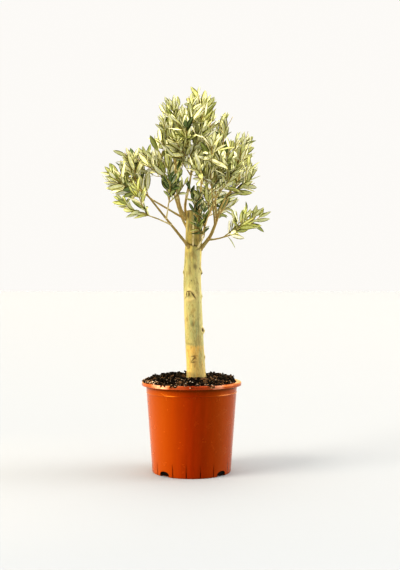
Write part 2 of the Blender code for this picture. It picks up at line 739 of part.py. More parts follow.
def limb_samples(paths):
    """Each limb as a cloud of points on its axis, with its largest radius."""
    trunk = [trunk_axis_at(z * MM) for z in TRUNK_SAMPLE_HEIGHTS]
    limbs = [(samples([trunk]), TRUNK_TOP_DIAMETER / 2 + TRUNK_MARGIN)]
    for bough in BOUGHS:
        limbs.append((samples([paths[bough.name]]), bough.root_diameter / 2 * MM))
    return limbs


def leaf_points(leaf):
    centre = [leaf.root + leaf.direction * leaf.length * t for t in LEAF_TEST_STEPS]
    widest = leaf.root + leaf.direction * leaf.length * LEAF_WIDEST
    sides = [widest + leaf.side * leaf.width * s for s in (-0.5, 0.5)]
    return np.array([tuple(point) for point in centre + sides])


def others_nearest(points, clouds, name):
    """For each point, the distance to the nearest other mass."""
    return np.min([nearest(points, cloud) for other, cloud in clouds.items() if other != name], axis=0)


def grow_all():
    """Twigs and leaves of every mass. What would leave its own space is skipped."""
    paths = all_bough_paths()
    limbs = limb_samples(paths)
    rngs = {mass.name: random.Random(mass.seed) for mass in MASSES}
    stems = {mass.name: stem_twig(mass, paths[mass.bough]) for mass in MASSES}
    clouds = {name: samples([stem.path]) for name, stem in stems.items()}
    twigs = {}
    for mass in MASSES:
        stem = stems[mass.name]
        stem_cloud = clouds[mass.name]
        twigs[mass.name] = [stem]
        for twig in shoot_twigs(mass, stem, rngs[mass.name]):
            points = samples([twig.path])[2:]
            space = np.maximum(TWIG_MARGIN, nearest(points, stem_cloud) * TWIG_SPACE_SHARE)
            inside = np.all(others_nearest(points, clouds, mass.name) > space)
            if inside and limb_clearances(points, limbs).min() > LIMB_MARGIN:
                twigs[mass.name].append(twig)
        clouds[mass.name] = samples([twig.path for twig in twigs[mass.name]])
    grown = {}
    for mass in MASSES:
        leaves = []
        for number, twig in enumerate(twigs[mass.name]):
            first = LEAF_FIRST * (2 if number == 0 else 1)
            for leaf in leaves_on(twig, first, mass.leaf, rngs[mass.name]):
                points = leaf_points(leaf)
                space = nearest(points, clouds[mass.name]) + SPACE_MARGIN
                inside = np.all(others_nearest(points, clouds, mass.name) > space)
                if inside and limb_clearances(points, limbs).min() > LIMB_MARGIN:
                    leaves.append(leaf)
        grown[mass.name] = (twigs[mass.name], leaves)
    return grown


# Masses as solids

def leaf_solid(collection, leaf):
    """Six faces: root, tip, two edges and a keel along the upper side."""
    bm = bmesh.new()
    normal = leaf.side.cross(leaf.direction)
    widest = leaf.root + leaf.direction * leaf.length * LEAF_WIDEST
    keel = normal * leaf.length * LEAF_THICKNESS
    root = bm.verts.new(leaf.root)
    tip = bm.verts.new(leaf.root + leaf.direction * leaf.length - normal * leaf.length * LEAF_CURL)
    girdle = [bm.verts.new(widest + offset) for offset in
              (leaf.side * leaf.width / 2, keel, -leaf.side * leaf.width / 2)]
    for i in range(3):
        j = (i + 1) % 3
        bm.faces.new((root, girdle[i], girdle[j]))
        bm.faces.new((tip, girdle[j], girdle[i]))
    return new_object("leaf", bm, collection)


def make_mass(mass, twigs, leaves):
    parts = bpy.data.collections.new(mass.name + "_parts")
    bpy.context.scene.collection.children.link(parts)
    bm = bmesh.new()
    loft(bm, tube_rings(twigs[0].path, twigs[0].radii, TWIG_SIDES))
    obj = new_object(mass.name, bm)
    for twig in twigs[1:]:
        bm = bmesh.new()
        loft(bm, tube_rings(twig.path, twig.radii, TWIG_SIDES))
        new_object("shoot", bm, parts)
    for leaf in leaves:
        leaf_solid(parts, leaf)
    # The MANIFOLD solver joins the many small solids of a mass in seconds
    cut_with(obj, parts, "UNION", "MANIFOLD")
    keep_largest(obj)
    dress(obj, mass.tint)
    return obj


def main():
    clear_scene()
    make_pot()
    make_soil()
    make_trunk()
    paths = all_bough_paths()
    for bough in BOUGHS:
        make_bough(bough, paths)
    grown = grow_all()
    for mass in MASSES:
        make_mass(mass, *grown[mass.name])


main()
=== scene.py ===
import json
import random
from collections import namedtuple
from math import atan, atan2, cos, exp, hypot, pi, radians, sin, sqrt

import bpy
import numpy as np
from mathutils import Matrix, Vector, noise

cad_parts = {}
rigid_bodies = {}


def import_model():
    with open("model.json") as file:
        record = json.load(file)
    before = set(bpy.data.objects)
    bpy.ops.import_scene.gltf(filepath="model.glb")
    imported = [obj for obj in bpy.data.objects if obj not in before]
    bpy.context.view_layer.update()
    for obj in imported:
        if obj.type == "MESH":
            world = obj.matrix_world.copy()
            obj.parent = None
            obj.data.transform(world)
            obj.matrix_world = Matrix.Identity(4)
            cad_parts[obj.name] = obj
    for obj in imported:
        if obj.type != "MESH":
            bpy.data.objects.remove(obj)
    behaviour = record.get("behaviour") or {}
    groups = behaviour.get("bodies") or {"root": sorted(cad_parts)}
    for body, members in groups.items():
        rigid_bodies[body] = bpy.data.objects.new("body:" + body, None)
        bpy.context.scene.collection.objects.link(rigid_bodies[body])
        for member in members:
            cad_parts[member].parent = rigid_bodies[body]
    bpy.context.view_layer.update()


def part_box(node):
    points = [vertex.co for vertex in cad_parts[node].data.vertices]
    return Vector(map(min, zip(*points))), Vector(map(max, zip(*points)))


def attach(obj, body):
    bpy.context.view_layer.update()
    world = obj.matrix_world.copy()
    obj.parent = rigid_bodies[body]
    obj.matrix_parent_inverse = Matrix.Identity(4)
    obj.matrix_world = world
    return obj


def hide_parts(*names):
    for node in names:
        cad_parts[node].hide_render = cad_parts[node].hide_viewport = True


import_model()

# Olive bonsai in a moulded nursery pot. Everything is in metres, +Z up, with the origin at the
# centre of the pot's underside. The boughs, twigs and leaves grow by the same rule as the
# solids that they replace, and then go on to finer twigs within the same reach.
MM = 0.001
GAP = 0.3 * MM
UP = Vector((0.0, 0.0, 1.0))

# Studio. Windows: the direction each is in, its strength, its width in degrees and its colour
CAMERA_PLACE = (0.0186, -1.992, 0.4114)
CAMERA_LENS = 56.8
EXPOSURE = -0.25
WINDOWS = (((-1.0, -0.5, 0.75), 3.1, 30, "FFF8EC"), ((1.0, 0.1, 0.3), 2.2, 40, "FFFFFF"))
LAMP_PLACE = (-1.17, -0.28, 0.05)
LAMP_SIZE = (1.0, 0.2)
LAMP_SPREAD = radians(40)
LAMP_WATTS = 3.0
FLOOR_RADIUS = 60.0
FLOOR_SIDES = 96

# Pot
POT_HEIGHT = 199 * MM
POT_FOOT_RADIUS = 86.5 * MM
POT_BODY_RADIUS = 100.5 * MM
POT_WALL = 2.0 * MM
POT_FLOOR = 2.5 * MM
POT_SIDES = 160
BODY_HEIGHTS = (10, 20, 32, 60, 90, 120, 150, 168)
FOOT_ROUNDING = 1.8 * MM
RIM_RADIUS = 110 * MM
RIM_DEPTH = 8.5 * MM
RIM_SLOPE = 4.5 * MM
RIM_EDGE = 1.2 * MM
RIM_LIP = 3.0 * MM
MOUTH_DEPTH = 2.6 * MM
BEAD_HEIGHT = 175 * MM
BEAD_WIDTH = 3.2 * MM
BEAD_PROUD = 0.8 * MM
BEAD_STEPS = 8
NOTCH_COUNT = 4
NOTCH_FIRST_DEG = 48.0
NOTCH_WIDTH = 26 * MM
NOTCH_HEIGHT = 11.5 * MM
NOTCH_ARCH = 0.65
NOTCH_REACH = 9 * MM
GROOVE_DEGREES = (-30.0, -10.0, 10.0, 30.0)
GROOVE_CENTRE_DEG = 3.0
GROOVE_WIDTH = 2.2 * MM
GROOVE_DEPTH = 3.4 * MM
GROOVE_TOP = 30 * MM
CUTTER_THICKNESS = 6 * MM
SOFT_EDGE = 0.35 * MM
# Painted glare on the rim, how strong from left to right, and the heights of that painted glare and
# of the painted shade under the rim
RIM_GLARE_ACROSS = (
    (0.06, "303030"), (0.13, "FFFFFF"), (0.23, "FFFFFF"), (0.27, "505050"), (0.3, "707070"),
    (0.5, "202020"), (0.64, "404040"), (0.72, "606060"), (0.75, "F0F0F0"), (0.82, "F0F0F0"),
    (0.86, "303030"), (0.94, "181818"),
)
RIM_GLARE_HEIGHTS = (0.1895, 0.1925)
RIM_SHADE_HEIGHTS = (0.1835, 0.1885)
RIM_SHADE_TOP = 0.1908

# Soil
SOIL_EDGE_HEIGHT = 197.5 * MM
SOIL_RING_RADIUS = 58 * MM
SOIL_RING_HEIGHT = 207 * MM
SOIL_SEAT_RADIUS = 27 * MM
SOIL_SEAT_HEIGHT = 203 * MM
SOIL_RADIUS = POT_BODY_RADIUS - POT_WALL - 2 * GAP
SOIL_SIDES = 180
SOIL_RINGS = 56
SOIL_SEED = 4
# How far apart the lumps are and how high, and over what width they fade at both edges
SOIL_LUMPS = ((15 * MM, 2.6), (5 * MM, 1.1))
LUMPS_FADE = (12 * MM, 9 * MM)

# Chips of bark: the mean and spread of the logarithm of their size in millimetres, and the
# ranges of their other measures, as shares of the size
CHIP_COUNT = 9500
CHIP_INNER_RADIUS = 20 * MM
CHIP_EDGES = 22 * MM
CHIP_SIZE = (0.66, 0.5)
CHIP_LARGEST = 8.0
CHIP_STRETCH = (0.9, 1.7)
CHIP_LIFT = (-0.1, 0.5)
CHIP_TUMBLE = 0.75
CHIP_FLATNESS = (0.3, 0.75)
CHIP_RAGGED = 0.17
CHIP_PINCH = 0.6
CHUNK_SHARE = 0.006
CHUNK_SIZE = (6.0, 9.0)
SLIVER_SHARE = 0.12
SLIVER_STRETCH = (2.2, 3.6)
SLIVER_WIDTH = 0.55
SLIVER_TUMBLE = 1.3
# Crumbs on the rim and hanging over its edge: from, to (in degrees), and how many
RIM_CRUMBS = ((160.0, 236.0, 420), (228.0, 256.0, 60), (296.0, 306.0, 12), (20.0, 160.0, 40))
CRUMB_SIZE = (1.2, 3.0)
CRUMB_STRETCH = (0.9, 1.5)
CRUMB_TUMBLE = 0.15
CRUMB_INSET = 1.6 * MM
RIM_HEAP = 4.5 * MM
HEAPED_COUNT = 400
CLINGERS = ((246.0, 254.0, 46), (233.0, 241.0, 22), (288.0, 297.0, 26), (262.0, 284.0, 16))
CLINGER_SIZE = (1.0, 2.4)
CLINGER_STRETCH = (0.9, 1.4)
CLINGER_TUMBLE = 0.6
CLINGER_DROP = 5.0
CLINGER_INSET = 2.5
# Kinds of bark: pale and dark tone, and roughness. Shares of each kind for large and for
# small chips in ordinary places, then for both in dark patches
BARKS = {
    "composted_bark": ("0C0907", "040302", 0.6),
    "damp_pine_bark": ("281C14", "150E0A", 0.75),
    "dry_pine_bark": ("6C543C", "44321F", 0.85),
    "weathered_bark": ("CCBCA8", "94887A", 0.85),
    "coir_fibre": ("B08858", "7A5C38", 0.9),
}
BARK_SHARES = (
    (40, 30, 30, 0, 0), (14, 18, 30, 20, 18),
    (84, 14, 2, 0, 0), (50, 30, 12, 5, 3),
)
PALE_CHIP = 3.0 * MM
PATCH_WIDTH = 14 * MM
PATCH_LEVEL = 0.02

# Trunk
TRUNK_TOP = 577 * MM
TRUNK_SAW_SLOPE = 0.07
TRUNK_SAW_RINGS = 6
TRUNK_FOOT_DIAMETER = 41 * MM
TRUNK_MIDDLE_DIAMETER = 39.5 * MM
TRUNK_TOP_DIAMETER = 35 * MM
TRUNK_FLARE = 2.4 * MM
TRUNK_FLARE_HEIGHT = 14 * MM
TRUNK_LEAN = (
    (203, 11.0, 2.0), (246, 8.3, 1.5), (313, 4.6, 0.0),
    (390, 3.0, -1.0), (445, 2.2, 0.0), (577, 5.8, 1.5),
)
TRUNK_SIDES = 120
TRUNK_RING_STEP = 1.6 * MM
TRUNK_LOBES = ((3, 9, 0.5 * MM), (5, -14, 0.3 * MM))
SAWN_RINGS = (0.97, 0.9, 0.78, 0.64, 0.5, 0.36, 0.22, 0.1)
KERF_DEPTH = 0.25
BARK_RELIEF = 0.35 * MM

# Swellings of the trunk: height, compass angle, width and how proud, in millimetres
SWELLING_FALL = 2
SWELLINGS = (
    (398, 262, 13, 1.8), (441, 352, 8, 2.6), (386, 358, 7, 2.2), (310, 356, 8, 3.0),
    (440, 186, 7, 1.6), (252, 2, 7, 1.4), (497, 300, 18, 1.8), (566, 190, 12, 1.6),
)

# Marks on the bark: height, compass angle, half width and half height, lean in degrees, how
# deep they cut, how dark they are, and how far a pale callus stands up round them. Most are
# scars and knots; three on the upper right are painted shade, noted below
MARK_EDGE = 3
BARK_SEED = 7
RAGGED_EDGE = 0.6
CALLUS_RING = (1.5, 0.5)
MARKS = (
    (389, 273, 1.7, 9.6, 32, 1.0, 0.95, 0.2), (391, 245, 1.7, 5.6, -8, 1.2, 1.0, 0.2),
    (392, 225, 1.3, 5.6, -6, 0.8, 0.9, 0.2), (397, 242, 6.4, 1.4, 0, 0.9, 0.95, 0.2),
    (384, 219, 8.0, 2.0, 27, 0.5, 0.5, 0), (388, 251, 7.6, 6.8, 0, 0.2, 0.1, 1.1),
    (446, 330, 2.0, 4.4, 26, 0.8, 0.85, 0.4), (437, 347, 3.0, 3.0, 0, -2.0, 1.0, 0),
    (437, 344, 1.4, 1.4, 0, 1.6, 1.0, 0), (312, 340, 3.6, 4.6, 14, 1.6, 1.0, 1.2),
    (495, 342, 4.0, 4.4, 0, 1.4, 1.0, 0.8), (388, 350, 1.2, 5.0, -20, 0.9, 0.7, 0.3),
    (252, 350, 2.2, 2.8, 0, 0.5, 0.8, 0.4), (439, 196, 2.2, 3.0, 0, 0.6, 0.5, 0.5),
    (255, 262, 6.2, 1.2, 6, 0.5, 0.8, 0), (249, 260, 1.3, 8.2, -42, 0.5, 0.8, 0),
    (242, 258, 6.0, 1.2, 8, 0.5, 0.75, 0), (251, 273, 1.2, 3.8, 30, 0.4, 0.6, 0),
    (452, 289, 5.4, 7.0, 20, 0.3, 0.55, 0), (446, 252, 3.6, 11, 0, 0.1, 0.25, 0),
    (421, 264, 1.6, 2.2, 20, 0.4, 0.7, 0), (343, 269, 1.4, 3.4, 0, 0.4, 0.6, 0),
    (325, 265, 4.2, 6.5, 0, 0.2, 0.4, 0), (282, 238, 9.0, 2.6, -8, 0.1, 0.3, 0),
    (330, 302, 1.7, 50, 0, 0.5, 0.3, 0), (406, 298, 3.0, 34, 0, 0.2, 0.24, 0),
    # Painted shade: the first mark on the line below, high on the right under the foliage
    (546, 322, 15, 46, 0, 0.1, 0.5, 0), (566, 226, 4.0, 9.0, 0, 0.3, 0.75, 0),
    # Painted shade on the line below: the first mark, on the upper right under the foliage, and the
    # last, the shadow of the right bough
    (556, 316, 3.4, 19, 0, 0.4, 0.8, 0), (508, 298, 7.0, 11, 0, 0.1, 0.5, 0),
    (576, 270, 20, 2.2, 0, 0.1, 0.6, 0), (520, 290, 2.4, 26, 3, 0.5, 0.4, 0),
    (545, 236, 1.6, 18, -3, 0.4, 0.3, 0), (499, 268, 15, 2.2, -10, 0.9, 0.85, 0),
    (492, 318, 10, 2.0, 24, 0.8, 0.7, 0), (470, 120, 3.4, 4.0, 10, 1.0, 0.9, 0.6),
    (360, 100, 4.2, 3.2, 0, 1.1, 1.0, 0.7), (290, 160, 2.4, 3.0, 0, 0.7, 0.8, 0.4),
    (415, 40, 2.8, 4.2, -15, 0.9, 0.9, 0.6), (300, 60, 1.4, 40, 0, 0.4, 0.24, 0),
    (400, 150, 1.4, 45, 0, 0.4, 0.24, 0),
)

# Boughs: name, parent, height of the root, tip, how far the middle bows towards the ground,
# the thickness at both ends, and how far beside the trunk's axis it starts, in millimetres
Bough = namedtuple(
    "Bough", "name parent root_height tip bow root_diameter tip_diameter side", defaults=((0, 0),))
BOUGHS = tuple(Bough("bough_" + name, *row) for name, *row in (
    ("left_low", "trunk", 488, (-93, -48, 603), 0, 6.4, 3.4, (-3, -12)),
    ("left_mid", "trunk", 546, (-84, 10, 599), 0, 5.0, 3.4),
    ("left_top", "trunk", 543, (-32, -8, 620), 11, 8.8, 5.8),
    ("leader", "trunk", 530, (-6, 4, 632), 14, 6.4, 4.6),
    ("right", "trunk", 473, (62, -8, 575), 10, 9.4, 5.2),
    ("back_left", "trunk", 512, (-40, 46, 618), 6, 6.0, 4.4),
    ("back_mid", "trunk", 518, (20, 48, 622), 6, 6.0, 4.4),
    ("back_right", "trunk", 520, (54, 42, 606), 6, 6.0, 4.4),
    ("back_low", "trunk", 484, (34, 60, 560), 6, 5.6, 3.8),
    ("front_thin", "trunk", 480, (4, -36, 552), 9, 3.6, 2.8),
    ("front_right", "trunk", 484, (26, -32, 515), 3, 3.6, 2.8),
    ("left_spray", "bough_left_low", 543, (-70, -53, 553), 0, 3.4, 2.8),
    ("left_riser", "bough_left_low", 556, (-50, -56, 580), 1, 3.2, 2.6),
    ("left_inner", "bough_left_top", 600, (-44, -24, 628), 2, 3.8, 3.0),
    ("leader_front", "bough_leader", 604, (-4, -14, 632), 2, 3.8, 3.0),
    ("right_low", "bough_right", 512, (58, -24, 513), 1, 4.2, 3.2),
    ("right_inner", "bough_right", 546, (47, -30, 588), 2, 4.2, 3.2),
    ("right_up", "bough_right", 556, (53, 4, 600), 2, 4.4, 3.4),
    ("right_far", "bough_right", 566, (82, 6, 604), 3, 4.4, 3.4),
))
BOUGH_RINGS = 5
BOUGH_SIDES = 14
BOUGH_STEP = 2.2 * MM
COLLAR_SWELL = 0.25
COLLAR_FADE = 6
ROOT_SWELL = 0.35
ROOT_FADE = 2.2
ROOTED_DEPTH = 2 * MM
KNUCKLE_SPACING = 19 * MM
KNUCKLE_LENGTH = 1.6 * MM
BOUGH_KNUCKLE = 0.16
BOUGH_UNEVEN = 0.16
PALE_BELOW = 4.0

# Masses of leaves: the bough that carries each, its stem's tip in millimetres, how many
# shoots leave the stem, how large its leaves are, its seed and its main tint
Mass = namedtuple("Mass", "name bough tip shoots leaf seed tint")
MASSES = tuple(Mass("leaves_" + name, "bough_" + bough, *row) for name, bough, *row in (
    ("top_left", "left_top", (-26, 0, 784), 8, 1.0, 650, "grey"),
    ("top_centre", "leader", (12, 0, 800), 8, 1.0, 582, "grey"),
    ("left_upper", "left_mid", (-138, 14, 676), 5, 1.0, 488, "grey"),
    ("left_far", "left_low", (-160, -55, 630), 3, 1.0, 223, "grey"),
    ("left_low", "left_spray", (-146, -80, 590), 2, 0.9, 487, "lime"),
    ("left_riser", "left_riser", (-42, -70, 624), 4, 0.75, 979, "dark"),
    ("left_inner", "left_inner", (-86, -36, 684), 3, 1.0, 363, "grey"),
    ("front_left", "leader_front", (-14, -84, 758), 8, 1.0, 592, "grey"),
    ("front_right", "right_inner", (40, -92, 688), 6, 1.0, 172, "grey"),
    ("front_thin", "front_thin", (14, -50, 604), 2, 0.6, 94, "dark"),
    ("front_low", "front_right", (26, -50, 556), 4, 0.62, 82, "dark"),
    ("right", "right", (114, -14, 664), 5, 1.0, 53, "grey"),
    ("right_low", "right_low", (138, -42, 560), 3, 0.9, 333, "lime"),
    ("right_up", "right_up", (72, 4, 740), 7, 1.0, 128, "grey"),
    ("right_far", "right_far", (100, 14, 728), 5, 1.0, 207, "grey"),
    ("back_left", "back_left", (-56, 96, 740), 6, 1.0, 507, "grey"),
    ("back_mid", "back_mid", (14, 108, 754), 5, 1.0, 905, "grey"),
    ("back_right", "back_right", (98, 92, 714), 5, 1.0, 395, "grey"),
    ("back_low", "back_low", (34, 122, 640), 4, 1.0, 932, "grey"),
))

# The rule that every mass grows by
STEM_STRAIGHT = 3 * MM
STEM_PULL = 0.38
STEM_RISE = 0.28
STEM_TIP_RADIUS = 1.0 * MM
SHOOT_PLACES = (0.08, 0.88)
SHOOT_LENGTH = 74 * MM
SHOOT_SHORTENING = 0.4
SHOOT_VARIETY = (0.65, 1.15)
SHOOT_PLACE_SHARE = 0.7
SHOOT_SPREAD = (0.55, 0.95)
SHOOT_PULL = 0.4
SHOOT_BEND = (0.3, 0.2)
SHOOT_RADII = (1.3 * MM, 0.9 * MM)
GOLDEN_TURN = radians(137.5)
TURN_VARIETY = 0.4
TWIG_STEP = 26 * MM
TWIG_RING_STEP = 4 * MM
TWIG_SIDES = 8
TWIG_KNUCKLE = 0.22
LEAF_FIRST = 13 * MM
LEAF_STEP = 21 * MM
LEAF_STEP_VARIETY = (0.85, 1.2)
LEAF_LENGTH = 50 * MM
LEAF_LENGTH_VARIETY = (0.82, 1.15)
LEAF_WIDTH_VARIETY = (0.85, 1.15)
LEAF_FULL_SIZE = 1.02
LEAF_SMALL_FROM = 0.55
LEAF_SMALLER_TIP = 0.42
LEAF_SMALL_UNTIL = 0.3
LEAF_SMALLER_ROOT = 0.25
LEAF_SLIM = 0.225
LEAF_WIDEST = 0.45
LEAF_OPEN = (radians(58), radians(24))
LEAF_OPEN_VARIETY = 0.22
LEAF_PLACE_VARIETY = 0.25
LEAF_RISE = (-0.05, 0.25)
LEAF_ROLL = 0.5
PAIR_TURN_VARIETY = 0.2
LEAF_ROOT_INSET = 0.4 * MM
LEAF_CURL = 0.05
LEAF_ALONG_TWIG = 0.98
LEAF_TEST_STEPS = (0.3, 0.55, 0.8, 1.0)
SPACE_MARGIN = 1.2 * MM
TWIG_MARGIN = 4.0 * MM
TWIG_SPACE_SHARE = 0.8
LIMB_MARGIN = 1.5 * MM
TRUNK_MARGIN = 2 * MM
TRUNK_SAMPLE_HEIGHTS = range(480, 569, 6)

# What goes on past the solids: leaf pairs between theirs, and twiglets off the shoots
FINER_LEAF = 0.88
TWIGLETS_PER_SHOOT = {"grey": 3, "lime": 0, "dark": 0}
TWIGLET_LENGTH = 30 * MM
TWIGLET_VARIETY = (0.7, 1.3)
TWIGLET_FIRST = 0.22
TWIGLET_SPAN = 0.6
TWIGLET_SPREAD = (0.8, 1.2)
TWIGLET_BEND = (0.25, 0.15)
TWIGLET_LEAF_FIRST = 0.8
TWIGLET_RADII = (0.75 * MM, 0.75 * MM * 0.7)
FINER_SEED = 5000

# Leaf outline: how far along the leaf, and what share of its half width
LEAF_STATIONS = (
    (0.0, 0.0), (0.08, 0.1), (0.22, 0.7), (0.42, 1.0), (0.64, 0.96), (0.86, 0.56), (1.0, 0.0))
LEAF_SIDES = 5
BLADE_BREADTH = 1.22
BLADE_LENGTH = 0.95
BLADE_THICK = 0.24 * MM
CURL_VARIETY = (-0.5, 2.4)
BLADE_SWAY = 0.04
BLADE_TWIST = 0.45
BLADE_FOLD = (0.12, 0.5)
RIB_WIDTH = 0.5 * MM
RIB_SHARE = 0.06
RIB_EDGE = 0.1 * MM
# Which finish each of a leaf's faces takes: 0 upper side, 1 underside, 2 midrib
LEAF_FINISHES = [0, 2, 0, 1, 1] * 4 + [2, 2, 2, 1, 1] + [0, 2, 0, 1, 1]

# Tints: the slot name of each, its upper side, underside and midrib
TINTS = {
    "pale": ("leaf_grey_green", "F4F2CE", "F8F6E8", "F6F5E0"),
    "grey": ("leaf_grey_green", "E8E8B8", "F2F2D8", "F2F2CE"),
    "olive": ("leaf_grey_green", "C6C886", "DEE0B4", "E0E0AA"),
    "lime": ("leaf_lime", "CACD80", "E0E2B8", "E0E4A8"),
    "deep": ("leaf_dark_green", "868F4E", "B6BE80", "BEC684"),
    "dark": ("leaf_dark_green", "3C4E2C", "7A8C62", "80925A"),
}
SPRAY_TINTS = {
    "grey": {"pale": 46, "grey": 34, "olive": 14, "deep": 4, "dark": 2},
    "shaded": {"pale": 10, "grey": 36, "olive": 34, "deep": 12, "dark": 8},
    "outer": {"pale": 6, "grey": 38, "olive": 40, "deep": 12, "dark": 4},
    "lime": {"lime": 46, "olive": 24, "pale": 16, "deep": 14},
    "dark": {"dark": 40, "deep": 26, "olive": 22, "grey": 12},
}
STRAY_LEAF = 0.7
MARGIN_SHADE = 0.24
MARGIN_TONE = (1.0, 0.94, 0.5)
GOLDEN_SHADE = 0.94
GOLDEN_TONE = (1.0, 0.99, 0.74)
TINT_SEED = 11

# A leaf is shaded when many others stand outside it, as seen from the crown's middle, and an
# outer one when few do. Shaded leaves take darker tints, as painted shade
CROWN_MIDDLE = Vector((0.0, 0.0, 640 * MM))
SHADE_NEAREST = 4 * MM
SHADE_REACH = 70 * MM
SHADE_WIDTH = 22 * MM
SHADE_COUNT = 9
OUTER_COUNT = 3


# Shared helpers

def linear(hex_colour):
    """An sRGB hex colour as linear red, green and blue."""
    channels = [int(hex_colour[i:i + 2], 16) / 255 for i in (0, 2, 4)]
    return [c / 12.92 if c <= 0.04045 else ((c + 0.055) / 1.055) ** 2.4 for c in channels]


def rgba(hex_colour):
    return (*linear(hex_colour), 1.0)


def shaded(hex_colour, factor, tone=(1.0, 1.0, 1.0)):
    """A hex colour made darker or lighter, with a share of its red, green and blue kept."""
    channels = [int(hex_colour[i:i + 2], 16) * factor * share for i, share in zip((0, 2, 4), tone)]
    return "".join(f"{min(255, round(channel)):02X}" for channel in channels)


def add(tree, kind, sockets=None, **settings):
    """Add a node with its settings, and a link or a value for each socket."""
    node = tree.nodes.new(kind)
    for name, value in settings.items():
        setattr(node, name, value)
    for name, value in (sockets or {}).items():
        if isinstance(value, bpy.types.NodeSocket):
            tree.links.new(value, node.inputs[name])
        else:
            node.inputs[name].default_value = value
    return node


def axes(tree, vector):
    return add(tree, "ShaderNodeSeparateXYZ", {"Vector": vector}).outputs


def grain(tree, place, scale, detail, roughness=0.5):
    """A cloudy pattern, with its clouds 1 / scale metres apart."""
    sockets = {"Vector": place, "Scale": scale, "Detail": detail, "Roughness": roughness}
    return add(tree, "ShaderNodeTexNoise", sockets).outputs["Fac"]


def squeezed(tree, place, share):
    """The place with its height squeezed, so that patterns on it are drawn out upwards."""
    sockets = {"Vector": place, "Scale": (1.0, 1.0, share)}
    return add(tree, "ShaderNodeMapping", sockets).outputs["Vector"]


def ranged(tree, value, low, high, least=0.0, most=1.0):
    """A number that goes from least to most while the value goes from low to high."""
    sockets = {"Value": value, "From Min": low, "From Max": high, "To Min": least, "To Max": most}
    return add(tree, "ShaderNodeMapRange", sockets).outputs["Result"]


def reckon(tree, operation, *numbers, clamp=False):
    """Arithmetic on outputs and plain numbers."""
    sockets = dict(enumerate(numbers))
    node = add(tree, "ShaderNodeMath", sockets, operation=operation, use_clamp=clamp)
    return node.outputs["Value"]


def mixed(tree, factor, under, over):
    """The colour over laid on the colour under by a factor; either may be a hex colour."""
    under, over = (rgba(one) if isinstance(one, str) else one for one in (under, over))
    sockets = {"Factor": factor, 6: under, 7: over}
    return add(tree, "ShaderNodeMix", sockets, data_type="RGBA").outputs[2]


def ramp(tree, factor, *stops):
    """A colour ramp over (place, hex colour) stops."""
    node = add(tree, "ShaderNodeValToRGB", {"Fac": factor})
    elements = node.color_ramp.elements
    while len(elements) < len(stops):
        elements.new(0.5)
    for element, (place, hex_colour) in zip(elements, stops):
        element.position = place
        element.color = rgba(hex_colour)
    return node.outputs["Color"]


def new_material(name, roughness, specular):
    """A material, with its node tree and the place on the object."""
    material = bpy.data.materials.new(name)
    material.use_nodes = True
    tree = material.node_tree
    shader = tree.nodes["Principled BSDF"]
    shader.inputs["Roughness"].default_value = roughness
    shader.inputs["Specular IOR Level"].default_value = specular
    return material, tree, add(tree, "ShaderNodeTexCoord").outputs["Object"]


def dress(tree, colour, height=None, strength=0.0, distance=0.0):
    """Give the shader its colour, and a bump where there is a height."""
    shader = tree.nodes["Principled BSDF"]
    tree.links.new(colour, shader.inputs["Base Color"])
    if height:
        sockets = {"Strength": strength, "Distance": distance, "Height": height}
        bump = add(tree, "ShaderNodeBump", sockets)
        tree.links.new(bump.outputs["Normal"], shader.inputs["Normal"])


def into_scene(obj):
    bpy.context.scene.collection.objects.link(obj)
    return obj


def deselect():
    for obj in bpy.context.selected_objects:
        obj.select_set(False)


def choose(obj):
    deselect()
    obj.select_set(True)
    bpy.context.view_layer.objects.active = obj


def mesh_piece(name, verts, faces, materials, face_materials=None):
    """A piece from lists of points and faces, shaded smooth."""
    mesh = bpy.data.meshes.new(name)
    mesh.from_pydata([tuple(v) for v in verts], [], faces)
    for material in materials:
        mesh.materials.append(material)
    if face_materials is not None:
        mesh.polygons.foreach_set("material_index", face_materials)
    mesh.shade_smooth()
    return into_scene(bpy.data.objects.new(name, mesh))


def keep_on_points(obj, name, values):
    """Keep a number on each point, and 0 on the points that have none."""
    missing = len(obj.data.vertices) - len(values)
    attribute = obj.data.attributes.new(name, "FLOAT", "POINT")
    attribute.data.foreach_set("value", values + [0.0] * missing)


def round_axis(radius, angle, z):
    return Vector((radius * cos(angle), radius * sin(angle), z))


def turns(sides):
    return [2 * pi * i / sides for i in range(sides)]


def sleeve(first, rings, sides):
    """Faces between rings of points that follow one another."""
    faces = []
    for low in range(first, first + (rings - 1) * sides, sides):
        pairs = [(low + i, low + (i + 1) % sides) for i in range(sides)]
        faces += [(a, b, b + sides, a + sides) for a, b in pairs]
    return faces


def cap(ring, tip, sides, over=True):
    """Faces between a ring of points and one point over or under it."""
    pairs = [(ring + i, ring + (i + 1) % sides) for i in range(sides)]
    return [(a, b, tip) if over else (b, a, tip) for a, b in pairs]


# Curves that the solids and the looks share

def between(a, b, t):
    return a + (b - a) * t


def smooth_curve(points, t):
    """A point on the Catmull-Rom curve through the points, with t from 0 to 1."""
    span = t * (len(points) - 1)
    i = min(int(span), len(points) - 2)
    u = span - i
    before = points[i - 1] if i > 0 else points[0] * 2 - points[1]
    after = points[i + 2] if i + 2 < len(points) else points[-1] * 2 - points[-2]
    a, b = points[i], points[i + 1]
    return 0.5 * ((2 * a) + (b - before) * u + (2 * before - 5 * a + 4 * b - after) * u ** 2
                  + (3 * a - before - 3 * b + after) * u ** 3)


def bezier(a, b, c, d, t):
    s = 1 - t
    return a * s ** 3 + b * (3 * s * s * t) + c * (3 * s * t * t) + d * t ** 3


def frames_along(path):
    """Two crossing directions at each point, carried on without twist."""
    side = None
    frames = []
    for i in range(len(path)):
        tangent = (path[min(i + 1, len(path) - 1)] - path[max(i - 1, 0)]).normalized()
        if side is None:
            side = tangent.orthogonal().normalized()
        side = (side - tangent * side.dot(tangent)).normalized()
        frames.append((side, tangent.cross(side)))
    return frames


